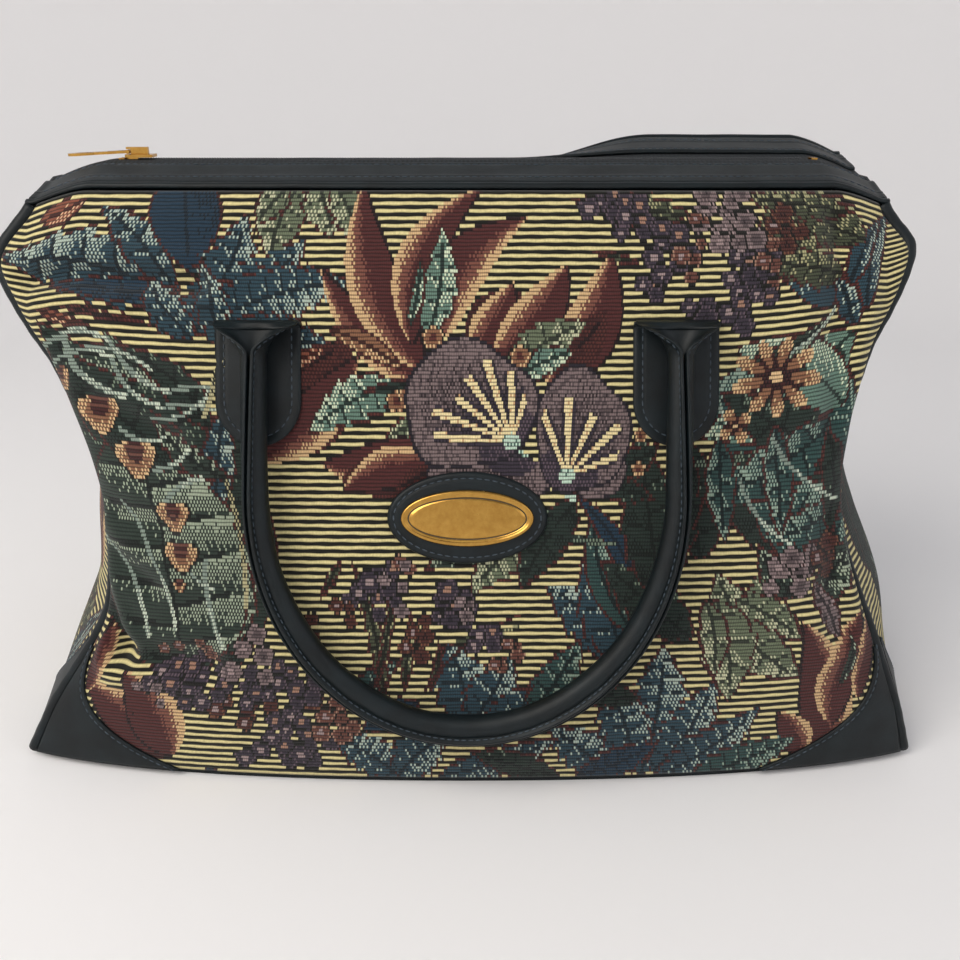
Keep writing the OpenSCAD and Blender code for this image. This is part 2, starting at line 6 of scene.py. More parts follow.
# %% The frame
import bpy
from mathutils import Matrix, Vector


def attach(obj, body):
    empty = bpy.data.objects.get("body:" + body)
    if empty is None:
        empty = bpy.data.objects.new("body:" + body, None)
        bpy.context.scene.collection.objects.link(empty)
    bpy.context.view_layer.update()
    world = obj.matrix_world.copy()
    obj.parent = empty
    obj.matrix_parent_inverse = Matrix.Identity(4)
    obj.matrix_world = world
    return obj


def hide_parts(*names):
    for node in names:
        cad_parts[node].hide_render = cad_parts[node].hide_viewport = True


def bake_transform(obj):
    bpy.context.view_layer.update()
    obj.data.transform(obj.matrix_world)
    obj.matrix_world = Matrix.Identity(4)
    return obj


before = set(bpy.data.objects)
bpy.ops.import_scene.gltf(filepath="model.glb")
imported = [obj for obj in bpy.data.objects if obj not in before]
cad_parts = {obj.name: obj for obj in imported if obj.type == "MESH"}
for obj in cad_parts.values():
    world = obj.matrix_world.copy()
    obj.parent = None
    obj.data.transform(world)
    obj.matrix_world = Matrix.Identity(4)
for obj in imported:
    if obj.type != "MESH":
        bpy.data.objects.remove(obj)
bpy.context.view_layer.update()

import math
import bmesh
import bpy
import numpy as np

MM = 0.001

# %% [markdown]
# ## Small tools
# Objects, shader nodes and materials are made in the same few ways throughout. A material here is one
# Principled shader; a texture steers its colour, gloss or relief where the real surface varies.

# %% Tools for objects and nodes
def put(name, data):
    """Adds an object to the scene, at the origin."""
    made = bpy.data.objects.new(name, data)
    bpy.context.scene.collection.objects.link(made)
    return made


def colour(hex_code):
    """sRGB hex to the linear values that shaders use."""
    c = np.array([int(hex_code[i:i + 2], 16) for i in (1, 3, 5)]) / 255
    return np.where(c <= 0.04045, c / 12.92, ((c + 0.055) / 1.055) ** 2.4)


def rgba(hex_code):
    return (*colour(hex_code), 1.0)


def add(tree, kind, inputs=None, **settings):
    """Adds a node, sets it up and fills its inputs with values or links."""
    made = tree.nodes.new(kind)
    for key, value in settings.items():
        setattr(made, key, value)
    for key, value in (inputs or {}).items():
        if isinstance(value, bpy.types.NodeSocket):
            tree.links.new(value, made.inputs[key])
        else:
            made.inputs[key].default_value = value
    return made


def calc(tree, operation, *values):
    """Result of a Math node."""
    return add(tree, "ShaderNodeMath", dict(enumerate(values)), operation=operation).outputs[0]


def ranged(tree, value, low, high, start=0.0, end=1.0):
    """A value from start to end, carried over to low to high."""
    span = {"Value": value, "From Min": start, "From Max": end, "To Min": low, "To Max": high}
    return add(tree, "ShaderNodeMapRange", span).outputs[0]


def place_of(tree):
    return add(tree, "ShaderNodeTexCoord").outputs["Object"]


def noise(tree, grain, detail=2.0, rough=0.5):
    """Noise with a grain in millimetres."""
    given = {"Vector": place_of(tree), "Scale": 1 / (grain * MM), "Detail": detail, "Roughness": rough}
    return add(tree, "ShaderNodeTexNoise", given).outputs[0]


def wave(tree, pitch, distortion, way="X"):
    """Waves with a pitch in millimetres."""
    given = {"Vector": place_of(tree), "Scale": 1 / (pitch * MM) / 6.283, "Distortion": distortion}
    return add(tree, "ShaderNodeTexWave", given, bands_direction=way).outputs[1]


print("tools: objects, nodes, noise and waves")


# %% Tools for materials
def new_material(name, **shader):
    """A material with one Principled shader, whose constant values go on its own sockets."""
    made = bpy.data.materials.new(name)
    made.use_nodes = True
    base = made.node_tree.nodes["Principled BSDF"]
    for key, value in shader.items():
        base.inputs[key.replace("_", " ")].default_value = value
    return made, made.node_tree, base


def steer(tree, base, value, tones=None, gloss=None, relief=None):
    """Lets a value choose between two tones, between two roughnesses, or stand up as relief."""
    if tones:
        mix = {0: value, 6: rgba(tones[0]), 7: rgba(tones[1])}
        mix = add(tree, "ShaderNodeMix", mix, data_type="RGBA")
        tree.links.new(mix.outputs[2], base.inputs["Base Color"])
    if gloss:
        tree.links.new(ranged(tree, value, *gloss), base.inputs["Roughness"])
    if relief:
        bump = {"Height": value, "Strength": relief[0], "Distance": relief[1] * MM}
        tree.links.new(add(tree, "ShaderNodeBump", bump).outputs[0], base.inputs["Normal"])


def mottled(name, tones, grain, detail=2.0, rough=0.5, gloss=None, **shader):
    """A material whose tone, and maybe gloss, follows noise."""
    made, tree, base = new_material(name, **shader)
    steer(tree, base, noise(tree, grain, detail, rough), tones, gloss)
    return made


def coat(name, material):
    """Gives a solid of the frame its finish."""
    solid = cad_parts[name]
    solid.data.materials.clear()
    solid.data.materials.append(material)
    return solid


print("tools: materials and finishes")

# %% [markdown]
# ## Camera, floor and light
# The photograph looks down at the bag from a little above its zip, so close that the front bulges
# towards the lens. A camera with a 36 mm lens, half a metre away, repeats that view. The light is one
# large soft lamp from the upper left, with a weaker one opposite and an even pale surround.

# %% Camera and light
CAM_AT, CAM_DOWN, CAM_LENS = (0.006, -0.512, 0.332), 23.0, 36.0
LAMP_AIM = Vector((0, 0, 0.12))


def lamp(name, at, size, watts, tint):
    data = bpy.data.lights.new(name, "AREA")
    data.energy, data.size, data.color = watts, size, colour(tint)
    made = put(name, data)
    made.location = at
    made.rotation_euler = (LAMP_AIM - Vector(at)).to_track_quat("-Z", "Y").to_euler()


scene = bpy.context.scene
scene.camera = put("camera", bpy.data.cameras.new("camera"))
scene.camera.data.lens = scene.camera.data.sensor_width = CAM_LENS
scene.camera.location = CAM_AT
scene.camera.rotation_euler = (math.radians(90 - CAM_DOWN), 0, 0)
scene.view_settings.view_transform = "Standard"

lamp("window_light", (-0.75, -0.75, 1.15), 0.9, 14.6, "#fffaf2")
lamp("fill_light", (0.95, -0.7, 0.75), 1.0, 2.2, "#f4f7ff")
scene.world = bpy.data.worlds.new("pale_room")
scene.world.use_nodes = True
surround = scene.world.node_tree.nodes["Background"].inputs
surround["Color"].default_value = rgba("#eff2f6")
surround["Strength"].default_value = 0.4
print("camera at", CAM_AT, "looking", CAM_DOWN, "degrees down")

# %% Paper sweep
SWEEP_FLAT, SWEEP_BEND, SWEEP_H, SWEEP_SIDES = 0.95, 0.4, 1.5, 96
paper = new_material("matt white paper", Roughness=0.9, Base_Color=rgba("#f1f0f1"))[0]
profile = [(0, 0), (0.6, 0), (SWEEP_FLAT, 0)]
profile += [(SWEEP_FLAT + SWEEP_BEND * math.sin(a), SWEEP_BEND - SWEEP_BEND * math.cos(a))
            for a in np.linspace(0.2, 1.57, 8)]
profile += [(SWEEP_FLAT + SWEEP_BEND, SWEEP_H)]
ring = bmesh.new()
for t in np.arange(SWEEP_SIDES) * 2 * math.pi / SWEEP_SIDES:
    for r, z in profile:
        ring.verts.new((r * math.cos(t), r * math.sin(t), z))
ring.verts.ensure_lookup_table()
n = len(profile)
for j in range(SWEEP_SIDES):
    for i in range(n - 1):
        a, b = j * n + i, (j + 1) % SWEEP_SIDES * n + i
        ring.faces.new([ring.verts[q] for q in (a, a + 1, b + 1, b)])
bmesh.ops.remove_doubles(ring, verts=ring.verts, dist=1e-5)
floor_mesh = bpy.data.meshes.new("paper_sweep")
ring.to_mesh(floor_mesh)
ring.free()
floor_mesh.polygons.foreach_set("use_smooth", [True] * len(floor_mesh.polygons))
floor_mesh.materials.append(paper)
put("paper_sweep", floor_mesh)
print("floor: a round paper sweep,", SWEEP_H, "m high")

# %% [markdown]
# ## The shape of the soft body
# The bag has four walls between a flat base and a narrow zip top. Its side seams lean in to a waist
# and out again to two ears under the zip. Each wall is one smooth formula of a place across it and a
# share of its height, taken from the solids, so that cloth, piping and patches all meet.

# %% Shape formulas
BASE_W, BASE_D, BASE_BULGE, SEAM_Z, TOP_D = 458.0, 200.0, 23.0, 281.0, 84.0
CLOTH_T, BASE_T, PIPING_R, SEWN = 2.4, 4.0, 3.2, 0.12
END_RUN, END_DROP = 26.5, 8.0
BODY_H, EDGE_IN = SEAM_Z - BASE_T, PIPING_R + SEWN
TOP_SEAM_Y = TOP_D / 2 * 0.95
SEAM_POWER, MID_POWER, SINK_POWER, FRONT_FULL = 1.4, 1.6, 1.5, 0.45
SEAM_WIDTHS = ((0, 1), (.1, .95), (.2, .885), (.3, .825), (.42, .79), (.54, .783), (.7, .845),
               (.82, .92), (.9, .945), (1, .885))
SEAM_TURNS = ((0, .2), (.2, .14), (.4, .1), (.6, .09), (.8, .06), (.9, .055), (1, .15))
SEAM_ANGLES = ((0, 18), (.2, 45), (.42, 98), (.6, 104), (.78, 60), (.9, 40), (1, 10))
GUSSET_BULGES = ((0, .06), (.28, .26), (.55, .18), (.8, -.14), (1, 0))
EAR_PULL, EAR_FROM, EAR_TOP = (6.0, 14.0), (0.45, 0.3), 0.18
BACK_LIFT, LIFT_ACROSS, LIFT_BACK, LIFT_UP = 17.0, (15, 85), (5.5, 34), (0.82, 0.18)
SWAYS = ((0, 0), (.12, 4), (.27, 9), (.42, 4), (.6, -1), (.8, -5), (.9, -7), (1, -4))


def curve(table, k):
    """Smooth curve through a table of places and values."""
    x, y = np.array(table, float).T
    n = len(x)
    lo, hi = np.maximum(np.arange(n) - 1, 0), np.minimum(np.arange(n) + 1, n - 1)
    slope = (y[hi] - y[lo]) / (x[hi] - x[lo])
    k = np.asarray(k, float)
    i = np.clip(np.searchsorted(x, k, side="left") - 1, 0, n - 2)
    h = x[i + 1] - x[i]
    s = (k - x[i]) / h
    return ((2 * s**3 - 3 * s**2 + 1) * y[i] + (s**3 - 2 * s**2 + s) * h * slope[i]
            + (3 * s**2 - 2 * s**3) * y[i + 1] + (s**3 - s**2) * h * slope[i + 1])


def seam_x(v):
    return BASE_W / 2 * curve(SEAM_WIDTHS, v)


def seam_y(v):
    return TOP_SEAM_Y + (BASE_D / 2 - TOP_SEAM_Y) * (1 - np.asarray(v) ** SEAM_POWER)


def mid_y(v):
    return TOP_D / 2 + (BASE_D / 2 + BASE_BULGE - TOP_D / 2) * (1 - np.asarray(v) ** MID_POWER)


TOP_HALF = float(seam_x(1.0))
STRAIGHT = TOP_HALF - END_RUN


def sink(x):
    return END_DROP * np.clip((np.abs(x) - STRAIGHT) / END_RUN, 0, 1) ** SINK_POWER


def seam_height(v):
    return BASE_T + v * (BODY_H - sink(seam_x(v)))


print("side seams:", [round(float(2 * seam_x(v))) for v in (0, 0.5, 0.9, 1)], "mm apart going up")


# %% The front wall and the side wall
def panel(u, v, out):
    """Point of the front wall: u from -1 to 1 across, v the share of the height, out off its middle."""
    u, v, out = np.broadcast_arrays(*(np.asarray(k, float) for k in (u, v, out)))
    w, y = seam_x(v), -mid_y(v)
    a = np.radians(curve(SEAM_ANGLES, v))
    way = np.stack([np.cos(a), np.sin(a)], -1)
    p3 = np.stack([w, -seam_y(v)], -1) - EDGE_IN * way
    p0, p1 = np.stack([0 * w, y], -1), np.stack([FRONT_FULL * w, y], -1)
    p2 = p3 - (w * curve(SEAM_TURNS, v))[..., None] * way
    k = np.abs(u)[..., None]
    at = (1 - k)**3 * p0 + 3 * (1 - k)**2 * k * p1 + 3 * (1 - k) * k**2 * p2 + k**3 * p3
    d = 3 * (1 - k)**2 * (p1 - p0) + 6 * (1 - k) * k * (p2 - p1) + 3 * k**2 * (p3 - p2)
    d /= np.linalg.norm(d, axis=-1, keepdims=True)
    q = at + out[..., None] * np.stack([d[..., 1], -d[..., 0]], -1)
    z = BASE_T + v * (BODY_H - sink(at[..., 0]))
    return np.stack([np.where(u < 0, -1, 1) * q[..., 0], q[..., 1], z], -1)


BAND_SLOPE, BAND_T, MOUTH_HALF, TAPE_T, SLIDER_W = math.radians(17), 1.8, 13.0, 0.8, 9.6
BAND_BACK = 0.4 * BAND_T
TAPE_FLAT = SLIDER_W / 2 + 3 * SEWN
LAYER_DROP = (BAND_BACK + TAPE_T / 2) / math.cos(BAND_SLOPE) + SEWN
TAPE_Z = SEAM_Z + SEWN + BAND_BACK - LAYER_DROP + (TOP_SEAM_Y - TAPE_FLAT) * math.tan(BAND_SLOPE)
END_RISE = TAPE_Z - SEAM_Z - 2 * TAPE_T - CLOTH_T


def gusset(s, v, out):
    """Point of the right wall: s from -1 at the front seam to 1 at the back seam."""
    s, v, out = np.broadcast_arrays(*(np.asarray(k, float) for k in (s, v, out)))
    bulge = BASE_D / 2 * curve(GUSSET_BULGES, v)
    turn = np.arctan(2 * bulge / seam_y(v))
    half = seam_y(v) - EDGE_IN * np.cos(turn)
    x = seam_x(v) + EDGE_IN * np.sin(turn) + bulge * (1 - s**2)
    lean = np.arctan(2 * bulge * s / half)
    z = seam_height(v) + v**3 * END_RISE * (1 - np.abs(s))
    return np.stack([x + out * np.cos(lean), half * s + out * np.sin(lean), z], -1)


WAYS = {"front": np.array([1.0, 1.0, 1.0]), "back": np.array([-1.0, -1.0, 1.0])}


def opposite(wall):
    """The wall across the bag: the same shape, half a turn round."""
    return lambda across, v, out: wall(across, v, out) * WAYS["back"]


print("walls: front and right, and the opposite of each by half a turn")


# %% How the full bag settles
def smooth(k):
    k = np.clip(k, 0, 1)
    return k * k * (3 - 2 * k)


def risen(value, start, run):
    return smooth((value - start) / run)


def settle(p):
    """The full bag sways to one side, its ears pull up and its back stands higher at the right."""
    p = np.array(p, float)
    h = np.clip((p[..., 2] - BASE_T) / BODY_H, 0, 1)
    reach = np.clip(np.abs(p[..., 0]) / seam_x(h), 0, 1.05)
    pull = np.where(p[..., 0] > 0, EAR_PULL[1], EAR_PULL[0])
    ear = risen(h, *EAR_FROM) * smooth((1 - h) / EAR_TOP) * pull
    behind = np.clip((p[..., 1] - LIFT_BACK[0]) / LIFT_BACK[1], 0, 1)
    back = risen(p[..., 0], *LIFT_ACROSS) * behind * risen(h, *LIFT_UP)
    p[..., 2] += ear * reach**5 + BACK_LIFT * back
    p[..., 0] += curve(SWAYS, h) * reach**2
    return p


print("settles: ears up by", EAR_PULL, "mm, back corner up by", BACK_LIFT, "mm")

# %% [markdown]
# ## Tapestry: the cloth as a loom makes it
# Jacquard tapestry is drawn on squared paper: each square is one float of coloured weft. The cloth here
# is built the same way, as a mesh with one face for each square, about 0.9 mm wide and 1.8 mm high.
# Ground rows alternate cream and near-black. Leaves, pansies, berries and bells are plain formulas in
# millimetres on the flat cloth, and their shades are mixed square by square, as a weaver mixes threads.
# A square also knows how far its thread is tied down: the ground floats free, a motif is tied often.

# %% Thread colours
THREADS = {
    "ground": ("#bfb381", "#0f0f0a"),
    "green": ("#0f1714", "#1f2c26", "#6d7b69"),
    "grey": ("#121916", "#28342d", "#949f8a"),
    "blue": ("#111f26", "#253d48", "#a0aea2"),
    "navy": ("#101c26", "#193041", "#27424f"),
    "teal": ("#0f1d1e", "#284240", "#86998a"),
    "sage": ("#2a3026", "#5f6852", "#b4b595"),
    "mint": ("#1d2c27", "#5d776a", "#c0cbb0"),
    "olive": ("#191b13", "#3f4433", "#97946f"),
    "maroon": ("#1c0d0f", "#381918", "#4e2621"),
    "rust": ("#3a1813", "#7a4534", "#c79f7f"),
    "peach": ("#381c16", "#7d5740", "#cbab80"),
    "flame": ("#1c0d0f", "#46201f", "#6d4338", "#bd9d74"),
    "ray": ("#381c16", "#b58f68", "#d6c596"),
    "mauve": ("#2a2124", "#4f4345", "#736363", "#907d7c"),
    "purple": ("#1f1a22", "#322b35", "#54464f"),
    "berry": ("#2c1613", "#5e3a31", "#93705e"),
    "maroonberry": ("#1c0d0f", "#43221d", "#64402f"),
    "dark": ("#12110e",),
    "pale": ("#2b3733", "#7b897e", "#b9c2b0"),
    "dash": ("#1a201c", "#aca57f"),
    "mintline": ("#4a655c", "#b0c6b4"),
}
THREADS = {name: np.array([colour(h) for h in tones]) for name, tones in THREADS.items()}
MIX_STEPS = np.array([[0, 4, 1, 5], [6, 2, 7, 3], [1.5, 5.5, .5, 4.5], [7.5, 3.5, 6.5, 2.5]]) / 8
MIX_LUCK, ROW_TONE, RIM_WIDE, GOLDEN_TURN = 0.25, 0.06, 1.3, 2.39996
REPEAT = (440.0, 300.0)


print("threads:", len(THREADS), "families of colour")


# %% A stretch of cloth
class Cloth:
    """A stretch of tapestry: where each square lies in mm, the colour of its thread, and its ties."""

    def __init__(self, x, y, row, col):
        self.x, self.y, self.row = x, y, row
        self.luck = np.random.default_rng(7).random((row.max() + 1, col.max() + 1))[row, col]
        self.mix = (1 - MIX_LUCK) * MIX_STEPS[row % 4, col % 4] + MIX_LUCK * self.luck
        self.rgb = THREADS["ground"][row % 2].copy()
        self.tied = np.zeros(row.shape)

    def near(self, at):
        """Distances from a point, to its nearest repeat."""
        return [(d - p + w / 2) % w - w / 2 for d, p, w in zip((self.x, self.y), at, REPEAT)]

    def lay(self, where, shade, tones, tied=1.0):
        """Weaves the squares where a motif is: threads mixed square by square, and tied down."""
        threads = THREADS[tones]
        shade = shade + ROW_TONE * (1 - 2 * (self.row % 2))
        step = np.floor(np.broadcast_to(shade, where.shape) * (len(threads) - 1) + self.mix)
        self.rgb[where] = threads[np.clip(step, 0, len(threads) - 1).astype(int)[where]]
        self.tied[where] = tied


def along(cloth, start, end, bend):
    """Share of the way from start to end, and distance to its left, for a way that bows by bend."""
    dx, dy = cloth.near(start)
    lx, ly = end[0] - start[0], end[1] - start[1]
    long = math.hypot(lx, ly)
    t = (dx * lx + dy * ly) / long**2
    return t, (dy * lx - dx * ly) / long - bend * 4 * t * (1 - t)


print("cloth: squares that take threads, in a repeat of", REPEAT, "mm")


# %% Leaves and stems
def leaf(cloth, kind, start, tip, bend, width, teeth=0, bite=0.0):
    """A pointed leaf with a dark edge; a flame leaf is maroon on one side and peach on the other."""
    t, n = along(cloth, start, tip, bend)
    k = np.clip(t, 0, 1)
    half = width / 2 * np.sin(math.pi * k**0.8) ** 0.85 + 1e-6
    lobe = (teeth * k + (n > 0) * 0.5 - 0.7 * np.abs(n) / width) % 1 if teeth else 0.5
    if teeth:
        half = half * (1 - bite * ((teeth * k + (n > 0) * 0.5) % 1))
    s = n / half
    inside = (t > 0) & (t < 1) & (np.abs(s) < 1)
    rim = inside & (half - np.abs(n) < RIM_WIDE)
    if kind.startswith("flame"):
        s = s if kind == "flame_r" else -s
        cloth.lay(inside, np.clip(0.34 + 0.82 * s, 0.33, 1), "flame", 0.6)
        cloth.lay(rim & (s < 0.5), 0.0, "maroon")
    else:
        light = 0.34 if kind in ("green", "navy") else 0.54
        shade = light + 0.22 * t - 0.16 * s + 0.28 * (lobe - 0.5)
        cloth.lay(inside, np.clip(shade, 0, 1), kind)
        vein = (np.abs(n) < 0.8) & (t < 0.85) | (lobe < 0.12) & (np.abs(s) < 0.7)
        cloth.lay(inside & vein, 0.0, kind)
        cloth.lay(rim, 0.7, "maroon")


def stem(cloth, start, end, bend, width, tones):
    t, n = along(cloth, start, end, bend)
    cloth.lay((t > 0) & (t < 1) & (np.abs(n) < width / 2), 0.4 + 0.5 * t, tones)


print("motifs: leaf, flame leaf, stem")


# %% Flowers and berries
def blossom(cloth, at, r, petals, turn, tones, eye=None):
    """A small flower with round petals and a dark edge."""
    dx, dy = cloth.near(at)
    d, a = np.hypot(dx, dy), np.arctan2(dy, dx)
    rim = r * (0.78 + 0.22 * np.abs(np.cos(petals * (a - turn) / 2)))
    cloth.lay(d < rim, 0.15 + 0.85 * d / r, tones)
    cloth.lay((d < rim) & (d > 0.86 * rim), 0.0, "dark")
    if eye:
        cloth.lay(d < 0.3 * r, 1.0, eye)


def berries(cloth, at, spread, count, size, tones, seed):
    """A cluster of small flowers, set out on a sunflower spiral."""
    luck = np.random.default_rng(seed)
    for i in range(count):
        q, a = math.sqrt((i + 0.5) / count), i * GOLDEN_TURN + luck.random() * 0.6
        place = (at[0] + spread[0] * q * math.cos(a), at[1] + spread[1] * q * math.sin(a))
        eye = ("berry" if tones == "purple" else None, "mauve", None)[i % 3]
        r = size * (0.75 + 0.4 * luck.random())
        blossom(cloth, place, r, 4, luck.random() * 6, tones, eye)


def pansy(cloth, at, r, throat, first, last, rays):
    """A pansy petal with cream rays that fan out from its throat."""
    dx, dy = cloth.near(at)
    a, d = np.arctan2(dy / r[1], dx / r[0]), np.hypot(dx / r[0], dy / r[1])
    rim = 1 + 0.06 * np.sin(3 * a + 2) + 0.04 * np.sin(5 * a)
    inside, big = d < rim, max(r)
    cloth.lay(inside, 0.42 + 0.3 * d - 0.4 * (cloth.luck > 0.66), "mauve")
    tx, ty = cloth.near(throat)
    far = np.hypot(tx, ty)
    cloth.lay(inside & (far < 0.5 * big), 0.3 + 0.5 * d, "purple")
    if rays:
        step = (last - first) / rays
        f = (np.degrees(np.arctan2(tx, ty)) - first) / step
        fan = inside & (f > 0) & (f < rays) & (far > 0.12 * big) & (d < 0.84)
        reach = (1.15 + 0.12 * np.sin(np.floor(f) * 2.1)) * big
        off = np.abs(f % 1 - 0.5) * math.radians(step) * far
        cloth.lay(fan & (far < reach) & (off < 3.2), 0.35, "purple")
        cloth.lay(fan & (far < reach) & (off < 0.7 + 1.1 * far / big), 0.9, "ray", 0.6)
        cloth.lay(far < 0.13 * big, 0.8, "mintline")
    cloth.lay(inside & (d > 0.95 * rim), 0.0, "purple")


def bell(cloth, at, r, turn):
    """A bell flower that hangs, peach with a maroon mouth."""
    dx, dy = cloth.near(at)
    d, a = np.hypot(dx, dy * 1.1), np.arctan2(dx, dy) - math.radians(turn)
    rim = r * (0.86 - 0.14 * np.cos(3 * a))
    inside = d < rim
    cloth.lay(inside, 0.45 + 0.5 * d / r, "peach")
    cloth.lay(inside & (d > 0.9 * rim), 0.0, "dark")
    cloth.lay(inside & (np.hypot(1.2 * dx, dy - 0.25 * r) < 0.42 * r), 0.5, "maroon")
    crown = np.hypot(1.2 * dx, dy - 0.5 * r) < 0.5 * r
    cloth.lay(inside & crown & (cloth.row % 2 == 0), 0.45, "berry")


def daisy(cloth, at, r, petals, turn):
    """A daisy with broad peach petals round a maroon ring."""
    dx, dy = cloth.near(at)
    d = np.hypot(dx / r[0], dy / r[1])
    c = np.cos(petals * (np.arctan2(dy, dx) - math.radians(turn)) / 2) ** 2
    petal = d < 0.45 + 0.55 * c**0.5
    cloth.lay(petal, 0.3 + 0.6 * d, "peach", 0.8)
    cloth.lay(petal & (c < 0.3) | (d < 0.3), 0.3, "maroon")
    cloth.lay(d < 0.15, 1.0, "peach")


print("motifs: blossom, berries, pansy, bell, daisy")

